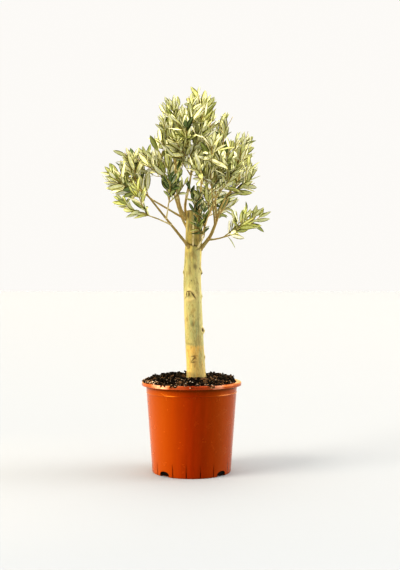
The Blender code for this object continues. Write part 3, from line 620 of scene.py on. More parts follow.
def compass_gap(angle, degrees):
    """How far an angle is from a compass direction, in radians either way."""
    return (angle - radians(degrees) + pi) % (2 * pi) - pi


def trunk_axis(t):
    return smooth_curve([Vector((x, y, z)) * MM for z, x, y in TRUNK_LEAN], t)


def trunk_axis_at(z):
    """The trunk's axis at a height, found by halving."""
    low, high = 0.0, 1.0
    for _ in range(30):
        middle = (low + high) / 2
        if trunk_axis(middle).z < z:
            low = middle
        else:
            high = middle
    return trunk_axis(low)


def trunk_radius(z, angle):
    foot = SOIL_SEAT_HEIGHT + GAP
    t = (z - foot) / (TRUNK_TOP - foot)
    if t < 0.5:
        diameter = between(TRUNK_FOOT_DIAMETER, TRUNK_MIDDLE_DIAMETER, t * 2)
    else:
        diameter = between(TRUNK_MIDDLE_DIAMETER, TRUNK_TOP_DIAMETER, t * 2 - 1)
    radius = diameter / 2 + TRUNK_FLARE * exp(-(z - foot) / TRUNK_FLARE_HEIGHT)
    for count, twist, proud in TRUNK_LOBES:
        radius += proud * sin(count * angle + twist * t)
    for height, degrees, spread, proud in SWELLINGS:
        beside = compass_gap(angle, degrees) * diameter / 2
        away = hypot(beside, z - height * MM) / (spread * MM)
        radius += proud * MM * exp(-away * away * SWELLING_FALL)
    return radius


def point_at_height(path, z):
    """Where a rising path passes a height."""
    for a, b in zip(path, path[1:]):
        if a.z <= z <= b.z:
            return between(a, b, (z - a.z) / (b.z - a.z))
    raise ValueError("no part of the limb is at this height")


def bough_path(bough, paths):
    """From inside the parent to the tip, bowed towards the ground in the middle."""
    tip = Vector(bough.tip) * MM
    if bough.parent == "trunk":
        root = trunk_axis_at(bough.root_height * MM) + Vector((*bough.side, 0)) * MM
    else:
        root = point_at_height(paths[bough.parent], bough.root_height * MM)
    across = (tip - root).normalized()
    sag = (across * across.z - UP).normalized() * bough.bow * MM
    points = [root, (root + tip) / 2 + sag, tip]
    return [smooth_curve(points, k / (BOUGH_RINGS - 1)) for k in range(BOUGH_RINGS)]


def bough_radii(bough):
    radii = []
    for k in range(BOUGH_RINGS):
        t = k / (BOUGH_RINGS - 1)
        diameter = between(bough.root_diameter, bough.tip_diameter, t)
        radii.append(diameter / 2 * MM * (1 + COLLAR_SWELL * exp(-t * COLLAR_FADE)))
    return radii


def all_bough_paths():
    paths = {}
    for bough in BOUGHS:
        paths[bough.name] = bough_path(bough, paths)
    return paths


# The camera, the light and the floor come first

def make_camera():
    camera = into_scene(bpy.data.objects.new("camera", bpy.data.cameras.new("camera")))
    camera.location = CAMERA_PLACE
    camera.rotation_euler = (radians(90), 0.0, 0.0)
    camera.data.lens = CAMERA_LENS
    camera.data.sensor_width = 36.0
    bpy.context.scene.camera = camera


def make_light(name, kind, heading, strength, hex_colour):
    """A light in a direction from the plant, that shines back at it."""
    light = into_scene(bpy.data.objects.new(name, bpy.data.lights.new(name, kind)))
    light.data.energy = strength
    light.data.color = linear(hex_colour)
    light.rotation_euler = Vector(heading).to_track_quat("Z", "Y").to_euler()
    return light


def make_lights():
    """Broad soft light from two windows, and a wide soft lamp beside the pot."""
    for heading, strength, width, hex_colour in WINDOWS:
        window = make_light("window_light", "SUN", heading, strength, hex_colour)
        window.data.angle = radians(width)
    x, y, _ = LAMP_PLACE
    lamp = make_light("softbox", "AREA", (x, y, 0.0), LAMP_WATTS, "FFDCA8")
    lamp.data.shape = "RECTANGLE"
    lamp.data.size, lamp.data.size_y = LAMP_SIZE
    lamp.data.spread = LAMP_SPREAD
    lamp.location = LAMP_PLACE
    lamp.visible_glossy = False


def make_studio():
    """A white room, brighter at the sides and behind the plant than at the camera's side."""
    scene = bpy.context.scene
    scene.world = world = bpy.data.worlds.new("white_room")
    world.use_nodes = True
    tree = world.node_tree
    x, y, _ = axes(tree, add(tree, "ShaderNodeTexCoord").outputs["Generated"])
    behind = ranged(tree, y, -0.95, -0.1, 0.55, 1.7)
    beside = ranged(tree, x, -0.9, 0.9, 0.95, 1.4)
    ray = add(tree, "ShaderNodeLightPath").outputs
    sockets = {"Factor": ray["Is Camera Ray"], 2: reckon(tree, "MULTIPLY", behind, beside), 3: 0.82}
    strength = add(tree, "ShaderNodeMix", sockets, data_type="FLOAT").outputs[0]
    # What shines on the plant and pot is warm, as a room with wooden furniture is
    colour = mixed(tree, ray["Is Glossy Ray"], "FEFCF9", "FFDEA6")
    background = tree.nodes["Background"]
    tree.links.new(colour, background.inputs["Color"])
    tree.links.new(strength, background.inputs["Strength"])
    scene.view_settings.view_transform = "Standard"
    scene.view_settings.look = "High Contrast"
    scene.view_settings.exposure = EXPOSURE
    edge = [round_axis(FLOOR_RADIUS, a, 0.0) for a in turns(FLOOR_SIDES)]
    floor = mesh_piece("studio_floor", edge, [tuple(range(FLOOR_SIDES))], [painted_board()])


def painted_board():
    """Matt painted board: flat and nearly white, with no grain to see."""
    material, tree, _ = new_material("painted_board", 0.85, 0.2)
    cloud = add(tree, "ShaderNodeTexNoise", {"Scale": 3.0, "Detail": 2.0}).outputs["Fac"]
    dress(tree, ramp(tree, cloud, (0.3, "96999C"), (0.7, "93979B")))
    return material


# Pot: moulded in one piece, with arched drain notches and narrow grooves between them

def body_radius(z):
    """The pot's tapering outside, without its rounded foot."""
    return POT_FOOT_RADIUS + (POT_BODY_RADIUS - POT_FOOT_RADIUS) * z / (POT_HEIGHT - RIM_DEPTH)


def arc(centre_radius, centre_height, radius, first, last, steps):
    """(radius, height) points on an arc, between two directions in degrees."""
    points = []
    for k in range(steps + 1):
        a = radians(first + (last - first) * k / steps)
        points.append((centre_radius + radius * cos(a), centre_height + radius * sin(a)))
    return points


def pot_outline():
    """From the underside, up the outside, over the rolled rim and down the inside."""
    rim_low = POT_HEIGHT - RIM_DEPTH
    slope_low = rim_low - RIM_SLOPE
    inside = POT_BODY_RADIUS - POT_WALL
    foot = body_radius(FOOT_ROUNDING) - FOOT_ROUNDING
    outline = arc(foot, FOOT_ROUNDING, FOOT_ROUNDING, -90, 0, 6)
    outline += [(body_radius(z * MM), z * MM) for z in BODY_HEIGHTS]
    for k in range(BEAD_STEPS + 1):
        z = BEAD_HEIGHT + BEAD_WIDTH * (k / BEAD_STEPS - 0.5)
        outline.append((body_radius(z) + BEAD_PROUD * sin(pi * k / BEAD_STEPS) ** 2, z))
    outline.append((body_radius(slope_low), slope_low))
    outline.append((body_radius(rim_low - 1.2 * MM) + 0.6 * MM, rim_low - 1.2 * MM))
    outline.append((body_radius(rim_low) + 2.2 * MM, rim_low - 0.2 * MM))
    outline += arc(RIM_RADIUS - RIM_EDGE, rim_low + RIM_EDGE, RIM_EDGE, -90, -20, 3)
    outline.append((RIM_RADIUS, rim_low + RIM_DEPTH * 0.45))
    outline += arc(RIM_RADIUS - RIM_LIP, POT_HEIGHT - RIM_LIP, RIM_LIP, 8, 90, 5)
    outline.append((inside + MOUTH_DEPTH, POT_HEIGHT))
    outline.append((inside + 0.7 * MM, POT_HEIGHT - 0.8 * MM))
    outline.append((inside, POT_HEIGHT - MOUTH_DEPTH))
    outline.append((body_radius(POT_FLOOR) - POT_WALL, POT_FLOOR))
    return outline


def make_pot():
    outline = pot_outline()
    radius, height = outline[0]
    deselect()
    bpy.ops.mesh.primitive_circle_add(
        vertices=POT_SIDES, radius=radius, fill_type="NGON", location=(0, 0, height))
    pot = bpy.context.active_object
    pot.name = "moulded_pot"
    bpy.ops.object.mode_set(mode="EDIT")
    bpy.ops.mesh.select_all(action="SELECT")
    for (radius, height), (next_radius, next_height) in zip(outline, outline[1:]):
        bpy.ops.mesh.extrude_region_move(
            TRANSFORM_OT_translate={"value": (0, 0, next_height - height)})
        widen = next_radius / radius
        bpy.ops.transform.resize(value=(widen, widen, 1), center_override=(0, 0, next_height))
    bpy.ops.mesh.select_all(action="SELECT")
    bpy.ops.mesh.normals_make_consistent(inside=False)
    bpy.ops.object.mode_set(mode="OBJECT")
    # The pot's place goes into its mesh, so that the piece stands at the origin
    pot.data.transform(pot.matrix_world)
    pot.matrix_world = Matrix()
    cutters = bpy.data.collections.new("pot_cutters")
    bpy.context.scene.collection.children.link(cutters)
    for quarter in range(NOTCH_COUNT):
        turn = quarter * 360 / NOTCH_COUNT
        notch_cutter(cutters, NOTCH_FIRST_DEG + turn)
        for degrees in GROOVE_DEGREES:
            groove_cutter(cutters, GROOVE_CENTRE_DEG + turn + degrees)
    cut = pot.modifiers.new("cut", "BOOLEAN")
    cut.operand_type = "COLLECTION"
    cut.collection = cutters
    cut.solver = "EXACT"
    soften = pot.modifiers.new("soften", "BEVEL")
    soften.width = SOFT_EDGE
    soften.segments = 2
    soften.limit_method = "ANGLE"
    soften.angle_limit = radians(40)
    choose(pot)
    for modifier in list(pot.modifiers):
        bpy.ops.object.modifier_apply(modifier=modifier.name)
    for cutter in list(cutters.objects):
        bpy.data.objects.remove(cutter, do_unlink=True)
    bpy.data.collections.remove(cutters)
    choose(pot)
    bpy.ops.object.shade_smooth_by_angle(angle=radians(30))
    pot.data.materials.clear()
    pot.data.materials.append(pot_plastic())
    return pot


def into(collection, turn_deg):
    """Turn the new cutter about the pot's axis and move it into the cutters' collection."""
    bpy.context.view_layer.update()
    cutter = bpy.context.active_object
    cutter.matrix_world = Matrix.Rotation(radians(turn_deg), 4, "Z") @ cutter.matrix_world
    for other in list(cutter.users_collection):
        other.objects.unlink(cutter)
    collection.objects.link(cutter)
    cutter.hide_render = True
    deselect()


def notch_cutter(collection, turn_deg):
    """An arch through the wall: a flattened cylinder over a block."""
    deselect()
    bpy.ops.mesh.primitive_cylinder_add(
        vertices=40, radius=NOTCH_WIDTH / 2, depth=2 * NOTCH_REACH, rotation=(0, radians(90), 0),
        location=(POT_FOOT_RADIUS, 0, NOTCH_HEIGHT * 0.35))
    bpy.context.active_object.scale = (NOTCH_HEIGHT * NOTCH_ARCH / (NOTCH_WIDTH / 2), 1, 1)
    into(collection, turn_deg)
    bpy.ops.mesh.primitive_cube_add(
        size=1, location=(POT_FOOT_RADIUS, 0, 0),
        scale=(2 * NOTCH_REACH, NOTCH_WIDTH, NOTCH_HEIGHT * 0.7))
    into(collection, turn_deg)


def groove_cutter(collection, turn_deg):
    """A slim block that leans out of the wall, so the groove is deepest at the foot."""
    deselect()
    length = GROOVE_TOP + 6 * MM
    bpy.ops.mesh.primitive_cube_add(size=1, location=(0, 0, 0))
    block = bpy.context.active_object
    bpy.ops.object.mode_set(mode="EDIT")
    bpy.ops.mesh.select_all(action="SELECT")
    bpy.ops.transform.resize(value=(CUTTER_THICKNESS, GROOVE_WIDTH, length))
    bpy.ops.object.mode_set(mode="OBJECT")
    for vert in block.data.vertices:
        if vert.co.x < 0:
            vert.co.y *= 0.5
    slope = (body_radius(GROOVE_TOP) - body_radius(0)) / GROOVE_TOP
    lean = atan(slope + GROOVE_DEPTH / GROOVE_TOP)
    outer = body_radius(GROOVE_TOP) + 3 * MM
    block.rotation_euler = (0, lean, 0)
    block.location = (outer - sin(lean) * length / 2, 0, GROOVE_TOP - cos(lean) * length / 2)
    into(collection, turn_deg)


def pot_plastic():
    """Injection-moulded polypropylene: an even red-orange, glossy and a little dusty, with painted
    light on both sides, a painted glare on the rim and painted shade in the corner under it."""
    material, tree, place = new_material("moulded_polypropylene", 0.24, 0.8)
    shader = tree.nodes["Principled BSDF"]
    shader.inputs["IOR"].default_value = 1.49
    shader.inputs["Specular Tint"].default_value = rgba("FFB030")
    x, _, z = axes(tree, place)
    # Flow marks of the moulding run upwards, some 12 mm wide
    upright = squeezed(tree, place, 0.12)
    flow = ramp(tree, grain(tree, upright, 80, 3, 0.55), (0.3, "762102"), (0.7, "822704"))
    # Painted light: the sides are made a lighter, more golden brown, most on the lit left
    across = ranged(tree, x, -0.1, 0.1)
    painted_side_light = ramp(
        tree, across, (0.2, "FFFFFF"), (0.5, "000000"), (0.62, "000000"), (0.82, "BCBCBC"))
    colour = mixed(tree, painted_side_light, flow, "803C05")
    # Dust and dried soil sit in 20 mm clouds
    cloud = grain(tree, place, 50, 3, 0.6)
    colour = mixed(tree, ranged(tree, cloud, 0.55, 0.85, 0.0, 0.22), colour, "80401C")
    # Painted glare on the rim, in patches 11 mm wide
    patch = grain(tree, place, 90, 3, 0.6)
    rim_glare_patches = reckon(tree, "MULTIPLY_ADD", patch, ramp(tree, across, *RIM_GLARE_ACROSS), 0.02, clamp=True)
    painted_rim_glare = reckon(tree, "MULTIPLY", ranged(tree, z, *RIM_GLARE_HEIGHTS), rim_glare_patches)
    colour = mixed(tree, painted_rim_glare, colour, "E8B8A0")
    # Painted shade: the wall just under the rim's overhang is darkened
    under_rim = reckon(tree, "LESS_THAN", z, RIM_SHADE_TOP)
    painted_rim_shade = reckon(tree, "MULTIPLY", ranged(tree, z, *RIM_SHADE_HEIGHTS, 0.0, 0.75), under_rim)
    colour = mixed(tree, painted_rim_shade, colour, "481400")
    tree.links.new(ranged(tree, cloud, 0.35, 0.75, 0.2, 0.3), shader.inputs["Roughness"])
    dress(tree, colour, grain(tree, upright, 45, 1), 0.1, 0.6 * MM)
    return material


# Soil: a heaped bed of peat, and thousands of chips of bark on it

def soil_height(radius):
    """The heaped surface: flat seat, dip at the trunk, ring, then down to the pot's wall."""
    if radius <= SOIL_SEAT_RADIUS:
        return SOIL_SEAT_HEIGHT
    if radius <= SOIL_RING_RADIUS:
        t = (radius - SOIL_SEAT_RADIUS) / (SOIL_RING_RADIUS - SOIL_SEAT_RADIUS)
        return between(SOIL_SEAT_HEIGHT, SOIL_RING_HEIGHT, 1 - (1 - t) ** 2)
    t = (radius - SOIL_RING_RADIUS) / (SOIL_RADIUS - SOIL_RING_RADIUS)
    return between(SOIL_RING_HEIGHT, SOIL_EDGE_HEIGHT, t ** 3)


def soil_point(radius, angle):
    """The bed's surface, moved towards the trunk's foot near the middle, and lumpy."""
    foot = trunk_axis(0)
    near_trunk = min(1.0, (SOIL_RADIUS - radius) / (SOIL_RADIUS - SOIL_SEAT_RADIUS))
    x = radius * cos(angle) + foot.x * near_trunk
    y = radius * sin(angle) + foot.y * near_trunk
    place = Vector((x, y, SOIL_SEED))
    lump = sum(noise.noise(place / width) * height for width, height in SOIL_LUMPS)
    inner, outer = LUMPS_FADE
    fade = min(1.0, max(0.0, (radius - SOIL_SEAT_RADIUS) / inner))
    fade *= min(1.0, (SOIL_RADIUS - radius) / outer)
    return Vector((x, y, soil_height(radius) + lump * MM * fade))


def make_soil_bed():
    foot = body_radius(POT_FLOOR) - POT_WALL - 2 * GAP
    verts = [Vector((0, 0, POT_FLOOR + GAP))]
    for radius, z in (
        (foot, POT_FLOOR + GAP),
        ((foot + SOIL_RADIUS) / 2, POT_HEIGHT / 2),
        (SOIL_RADIUS, POT_HEIGHT - MOUTH_DEPTH),
    ):
        verts += [round_axis(radius, a, z) for a in turns(SOIL_SIDES)]
    for k in range(SOIL_RINGS):
        radius = (SOIL_RADIUS - 0.6 * MM) * (1 - k / SOIL_RINGS)
        verts += [soil_point(radius, a) for a in turns(SOIL_SIDES)]
    verts.append(soil_point(0.0, 0.0))
    top = len(verts) - 1
    faces = cap(1, 0, SOIL_SIDES, over=False)
    faces += sleeve(1, SOIL_RINGS + 3, SOIL_SIDES)
    faces += cap(top - SOIL_SIDES, top, SOIL_SIDES)
    return mesh_piece("soil_bed", verts, faces, [peat()])


def chip_places(rng):
    """Where each chip lies, on the bed or on the rim, its size, and how long and how tumbled."""
    places = []
    for _ in range(CHIP_COUNT):
        radius = CHIP_INNER_RADIUS + (SOIL_RADIUS - CHIP_EDGES) * sqrt(rng.random())
        size = MM * min(CHIP_LARGEST, rng.lognormvariate(*CHIP_SIZE))
        sliver = rng.random() < SLIVER_SHARE
        if not sliver and rng.random() < CHUNK_SHARE:
            size = MM * rng.uniform(*CHUNK_SIZE)
        stretch = rng.uniform(*(SLIVER_STRETCH if sliver else CHIP_STRETCH))
        place = soil_point(radius, rng.uniform(0, 2 * pi))
        lift = size * rng.uniform(*CHIP_LIFT)
        if hypot(place.x, place.y) + size * stretch / 2 < SOIL_RADIUS - 0.5 * MM:
            tumble = SLIVER_TUMBLE if sliver else CHIP_TUMBLE
            places.append((place + UP * lift, size, stretch, tumble))
    for first, last, count in RIM_CRUMBS:
        for _ in range(count):
            angle = radians(rng.uniform(first, last))
            radius = rng.uniform(POT_BODY_RADIUS - 2 * MM, RIM_RADIUS - CRUMB_INSET)
            size = MM * rng.uniform(*CRUMB_SIZE)
            outward = (radius - POT_BODY_RADIUS) / (RIM_RADIUS - POT_BODY_RADIUS)
            heap = rng.random() * RIM_HEAP * (1 - outward) * min(1.0, count / HEAPED_COUNT)
            place = round_axis(radius, angle, POT_HEIGHT + size * 0.28 + heap)
            places.append((place, size, rng.uniform(*CRUMB_STRETCH), CRUMB_TUMBLE))
    # Damp crumbs that cling to the rim's edge and hang down over it
    for first, last, count in CLINGERS:
        for _ in range(count):
            angle = radians(rng.uniform(first, last))
            drop = rng.random() ** 2 * CLINGER_DROP * MM
            size = MM * rng.uniform(*CLINGER_SIZE)
            inset = rng.uniform(0.0, CLINGER_INSET) * MM * (1 - drop / (CLINGER_DROP * MM))
            radius = RIM_RADIUS - inset + 0.2 * size
            place = round_axis(radius, angle, POT_HEIGHT + size * 0.3 - drop)
            places.append((place, size, rng.uniform(*CLINGER_STRETCH), CLINGER_TUMBLE))
    return places


def make_chips():
    rng = random.Random(SOIL_SEED)
    cube = [Vector((x, y, z)) / 2 for x in (-1, 1) for y in (-1, 1) for z in (-1, 1)]
    cube_faces = (
        (0, 1, 3, 2), (4, 6, 7, 5), (0, 4, 5, 1), (2, 3, 7, 6), (0, 2, 6, 4), (1, 5, 7, 3))
    verts, faces, kinds = [], [], []
    for place, size, stretch, tumble in chip_places(rng):
        flat = rng.uniform(*CHIP_FLATNESS)
        turn = Matrix.Rotation(rng.uniform(0, 2 * pi), 3, "Z")
        tip = Matrix.Rotation(rng.gauss(0, tumble), 3, "X")
        tip = tip @ Matrix.Rotation(rng.gauss(0, tumble), 3, "Y")
        width = size * (SLIVER_WIDTH if stretch > 2 else 1.0)
        faces += [tuple(len(verts) + i for i in face) for face in cube_faces]
        for corner in cube:
            loose = [rng.uniform(-CHIP_RAGGED, CHIP_RAGGED) for _ in range(3)]
            x, y, z = corner + Vector(loose)
            pinch = CHIP_PINCH if corner.x > 0 else 1.0
            shaped = Vector((x * size * stretch, y * width * pinch, z * width * flat))
            verts.append(place + turn @ (tip @ shaped))
        dark_here = noise.noise(place / PATCH_WIDTH) < PATCH_LEVEL
        shares = BARK_SHARES[(size < PALE_CHIP) + 2 * dark_here]
        kinds += rng.choices(range(len(BARKS)), shares) * len(cube_faces)
    bark = [chip_bark(name, *finish) for name, finish in BARKS.items()]
    chips = mesh_piece("soil_chips", verts, faces, bark, kinds)
    chips.data.shade_flat()
    return chips


def peat():
    """Damp peat: nearly black, matt and crumbly, with crumbs 3 mm across."""
    material, tree, place = new_material("damp_peat", 0.92, 0.25)
    crumbs = grain(tree, place, 330, 4, 0.7)
    tone = ramp(tree, crumbs, (0.35, "050403"), (0.6, "14100C"), (0.8, "2C2119"))
    dress(tree, tone, crumbs, 0.9, 1.2 * MM)
    return material


def chip_bark(name, pale, dark, roughness):
    """A chip of bark: fibrous, with streaks 1 mm apart along it."""
    material, tree, place = new_material(name, roughness, 0.12)
    streak = grain(tree, place, 900, 3, 0.6)
    dress(tree, ramp(tree, streak, (0.35, dark), (0.65, pale)), streak, 0.5, 0.4 * MM)
    return material


# Trunk: the solid's shape with the relief of the bark, its scars and its sawn top

def scar_and_shade_marks(z, angle):
    """How far the marks cut in here, how dark the scars and the painted shade make the bark,
    and how far a callus stands up.
    """
    cut, darkest, stands = 0.0, 0.0, 0.0
    ragged = noise.noise_vector(Vector((angle * 9, z / (2.2 * MM), 0.0))) * RAGGED_EDGE * MM
    ring, ring_width = CALLUS_RING
    for height, degrees, wide, high, lean, deep, dark, callus in MARKS:
        sideways = compass_gap(angle, degrees) * TRUNK_MIDDLE_DIAMETER / 2 + ragged.x
        upwards = z - height * MM + ragged.y
        lean = radians(lean)
        across = (sideways * cos(lean) + upwards * sin(lean)) / (wide * MM)
        along = (upwards * cos(lean) - sideways * sin(lean)) / (high * MM)
        away = hypot(across, along)
        if away < MARK_EDGE:
            here = exp(-away ** 3)
            cut += deep * MM * here
            darkest = max(darkest, here * dark)
            stands += callus * MM * exp(-((away - ring) / ring_width) ** 2)
    return cut, darkest, stands


def bark_relief(x, y, z):
    """Shallow furrows that run up the stem, some 4 mm apart, over slow waves."""
    furrow = noise.noise(Vector((x / (4 * MM), y / (4 * MM), z / (26 * MM))))
    pores = noise.noise(Vector((x, y, z * 0.6)) / (1.7 * MM))
    wave = noise.noise(Vector((x, y, z * 0.5)) / (14 * MM))
    return BARK_RELIEF * (0.55 * furrow + 0.25 * pores + 0.9 * wave)


def make_trunk():
    noise.seed_set(BARK_SEED)
    foot = SOIL_SEAT_HEIGHT + GAP
    rings = round((TRUNK_TOP - foot) / TRUNK_RING_STEP)
    verts, scar_and_shade_darkness, calluses = [], [], []
    for k in range(rings + 1):
        z = foot + (TRUNK_TOP - foot) * k / rings
        centre = trunk_axis_at(z)
        near_top = max(0.0, 1 - (rings - k) / TRUNK_SAW_RINGS)
        for angle in turns(TRUNK_SIDES):
            radius = trunk_radius(z, angle)
            cut, dark, callus = scar_and_shade_marks(z, angle)
            radius += bark_relief(radius * cos(angle), radius * sin(angle), z) - cut + callus
            saw = TRUNK_SAW_SLOPE * cos(angle) * radius * near_top
            x, y = centre.x + radius * cos(angle), centre.y + radius * sin(angle)
            verts.append(Vector((x, y, z + saw)))
            scar_and_shade_darkness.append(dark)
            calluses.append(min(1.0, callus / MM))
    edge = verts[-TRUNK_SIDES:]
    centre = sum(edge, Vector()) / TRUNK_SIDES
    for share in SAWN_RINGS:
        for outer in edge:
            point = centre + (outer - centre) * share
            across_grain = Vector((point.x / (30 * MM), point.y / (2 * MM), 3.0))
            verts.append(point + UP * (noise.noise(across_grain) * KERF_DEPTH * MM))
    top = len(verts)
    verts += [centre, trunk_axis_at(foot)]
    faces = sleeve(0, top // TRUNK_SIDES, TRUNK_SIDES)
    faces += cap(top - TRUNK_SIDES, top, TRUNK_SIDES) + cap(0, top + 1, TRUNK_SIDES, over=False)
    kinds = [0] * rings + [1] * (len(SAWN_RINGS) + 1) + [0]
    kinds = [kind for kind in kinds for _ in range(TRUNK_SIDES)]
    finishes = [olive_bark("smooth_olive_bark", True), sawn_wood(centre)]
    trunk = mesh_piece("trunk_bark", verts, faces, finishes, kinds)
    keep_on_points(trunk, "scar", scar_and_shade_darkness)
    keep_on_points(trunk, "callus", calluses)
    trunk.data.set_sharp_from_angle(angle=radians(50))
    return trunk


def olive_bark(name, marked):
    """Young olive bark: smooth and matt, tan to grey-green, in soft upright streaks with fine
    pores. On the trunk it is marked by height, by its scars and calluses, and by painted shade."""
    material, tree, place = new_material(name, 0.68, 0.35)
    # Streaks 8 mm wide and 70 mm tall, and pores 1.5 mm apart
    upright = squeezed(tree, place, 0.11)
    halfway = squeezed(tree, place, 0.45)
    streak = grain(tree, upright, 120, 4, 0.55)
    fine = grain(tree, upright, 620, 3, 0.6)
    pores = grain(tree, place, 650, 4, 0.7)
    base = "A48C56"
    if marked:
        wander = reckon(tree, "MULTIPLY_ADD", fine, 0.012, axes(tree, place)["Z"])
        base = ramp(
            tree, ranged(tree, wander, 0.2, 0.6), (0.0, "A68A4C"), (0.08, "B69A5A"),
            (0.205, "B29452"), (0.214, "98915E"), (0.45, "A59E68"), (0.62, "AEA468"),
            (0.76, "CAB666"), (0.95, "AC954C"))
    # Grey streaks, brown blotches 11 mm wide, tan lines, dark pores and flecks 4 mm apart
    blotch = grain(tree, halfway, 90, 3, 0.5)
    fleck = grain(tree, halfway, 280, 2, 0.6)
    colour = base
    for pattern, low, high, most, hex_colour in (
        (streak, 0.44, 0.6, 0.7 if marked else 0.5, "868C62"),
        (blotch, 0.52, 0.66, 0.55, "8A7846"),
        (fine, 0.5, 0.3, 0.55, "C0AE78"),
        (pores, 0.6, 0.78, 0.6, "6C5E3A"),
        (fleck, 0.54, 0.66, 0.5, "7C6C3C"),
    ):
        colour = mixed(tree, ranged(tree, pattern, low, high, 0.0, most), colour, hex_colour)
    if marked:
        callus, scar = (
            add(tree, "ShaderNodeAttribute", attribute_name=kept).outputs["Fac"]
            for kept in ("callus", "scar"))
        colour = mixed(tree, reckon(tree, "MULTIPLY", callus, 0.35), colour, "CDB880")
        # Scars darken the bark, and so does painted shade under the foliage and the right bough
        colour = mixed(tree, scar, colour, "321D08")
    dress(tree, colour, pores, 0.35, 0.35 * MM)
    return material


def sawn_wood(centre):
    """Sawn olive wood, weathered: grey-brown, with rings 2 mm apart about the trunk's heart."""
    material, tree, place = new_material("sawn_olive_wood", 0.8, 0.3)
    sockets = {"Vector": place, "Location": (-centre.x, -centre.y, 0.0), "Scale": (1.0, 1.0, 0.0)}
    sockets = {
        "Vector": add(tree, "ShaderNodeMapping", sockets).outputs["Vector"],
        "Scale": 80.0, "Distortion": 2.0, "Detail": 2.0, "Detail Scale": 1.5}
    rings = add(tree, "ShaderNodeTexWave", sockets, wave_type="RINGS", rings_direction="Z")
    rings = rings.outputs["Fac"]
    dress(tree, ramp(tree, rings, (0.1, "7A5C34"), (0.8, "B08E58")), rings, 0.3, 0.3 * MM)
    return material


# Boughs and twigs: round limbs with knuckles where buds have been

def tube(verts, faces, path, radii, sides):
    """Append one closed limb: rings along the path, and a point at both ends."""
    start = len(verts)
    for point, radius, (side, up) in zip(path, radii, frames_along(path)):
        verts += [point + (side * cos(a) + up * sin(a)) * radius for a in turns(sides)]
    end = len(verts)
    verts.append(path[0] - (path[1] - path[0]).normalized() * radii[0] * 0.3)
    verts.append(path[-1] + (path[-1] - path[-2]).normalized() * radii[-1] * 0.6)
    faces += sleeve(start, len(path), sides) + cap(start, end, sides, over=False)
    faces += cap(end - sides, end + 1, sides)


def refined(path, radii, step):
    """More points on the smooth curve through a path, with the radii carried along."""
    count = max(4, round(path_length(path) / step))
    fine_path = [smooth_curve(path, k / count) for k in range(count + 1)]
    fine_radii = []
    for k in range(count + 1):
        span = k / count * (len(radii) - 1)
        i = min(int(span), len(radii) - 2)
        fine_radii.append(between(radii[i], radii[i + 1], span - i))
    return fine_path, fine_radii


def knuckled(path, radii, spacing, proud):
    """Radii with a knuckle at every pair of buds."""
    swollen = []
    distance = 0.0
    for k, radius in enumerate(radii):
        if k:
            distance += (path[k] - path[k - 1]).length
        near = abs((distance / spacing) % 1.0 - 0.5) * spacing
        swollen.append(radius * (1 + proud * exp(-(near / KNUCKLE_LENGTH) ** 2)))
    return swollen


def depth_inside(bough, point, paths):
    """How far a point lies inside the bough's parent."""
    parent = paths.get(bough.parent)
    if parent is None:
        z = min(point.z, TRUNK_TOP)
        centre = trunk_axis_at(z)
        x, y = point.x - centre.x, point.y - centre.y
        return trunk_radius(z, atan2(y, x)) - hypot(x, y)
    length = path_length(parent)
    away = min((walk(parent, length * i / 60)[0] - point).length for i in range(61))
    return bough_named(bough.parent).root_diameter / 2 * MM - away


def outside_parent(bough, path, radii, paths):
    """Drop the rings that lie inside the parent, but for the last one, which roots in it."""
    kept = 0
    for k, point in enumerate(path):
        if depth_inside(bough, point, paths) < ROOTED_DEPTH:
            break
        kept = k
    return path[kept:], radii[kept:]


def make_boughs(paths):
    noise.seed_set(BARK_SEED)
    verts, faces, kinds = [], [], []
    for bough in BOUGHS:
        path, radii = refined(paths[bough.name], bough_radii(bough), BOUGH_STEP)
        path, radii = outside_parent(bough, path, radii, paths)
        collared = [r * (1 + ROOT_SWELL * exp(-k / ROOT_FADE)) for k, r in enumerate(radii)]
        knuckles = knuckled(path, collared, KNUCKLE_SPACING, BOUGH_KNUCKLE)
        tube(verts, faces, path, knuckles, BOUGH_SIDES)
        kinds += [int(bough.root_diameter < PALE_BELOW)] * (len(faces) - len(kinds))
    verts = [vert + noise.noise_vector(vert / (3.5 * MM)) * BOUGH_UNEVEN * MM for vert in verts]
    bark = olive_bark("young_olive_bark", False)
    pale_bark = young_twig("pale_olive_bark", "B09C66", "D4C596", "E6DBB6")
    return mesh_piece("bough_bark", verts, faces, [bark, pale_bark], kinds)


def make_twigs(grown):
    verts, faces = [], []
    for sprays in grown.values():
        for number, (twig, _) in enumerate(sprays):
            path, radii = refined(twig.path, twig.radii, TWIG_RING_STEP)
            if number == 0:
                path.insert(0, path[0] - (path[1] - path[0]).normalized() * 1.5 * MM)
                radii.insert(0, radii[0] * 0.9)
            tube(verts, faces, path, knuckled(path, radii, LEAF_STEP, TWIG_KNUCKLE), TWIG_SIDES)
    green = young_twig("young_olive_twig", "7E6A3C", "A8955C", "C8B884")
    return mesh_piece("twigs", verts, faces, [green])


def young_twig(name, darkest, middle, palest):
    """A young twig: matt and smooth, in pale patches 9 mm long."""
    material, tree, place = new_material(name, 0.6, 0.35)
    patch = grain(tree, place, 110, 4, 0.6)
    tone = ramp(tree, patch, (0.32, darkest), (0.5, middle), (0.7, palest))
    dress(tree, tone, patch, 0.3, 0.3 * MM)
    return material


# Growth: the same rule and seeds as in the solids give the same twigs and leaves

Twig = namedtuple("Twig", "path radii")
Leaf = namedtuple("Leaf", "root direction side length width")


def bough_named(name):
    return next(bough for bough in BOUGHS if bough.name == name)


def walk(path, distance):
    """The point and direction at a distance along a path."""
    for a, b in zip(path, path[1:]):
        step = (b - a).length
        if distance <= step:
            return between(a, b, distance / step), (b - a).normalized()
        distance -= step
    return path[-1].copy(), (path[-1] - path[-2]).normalized()


def path_length(path):
    return sum((b - a).length for a, b in zip(path, path[1:]))


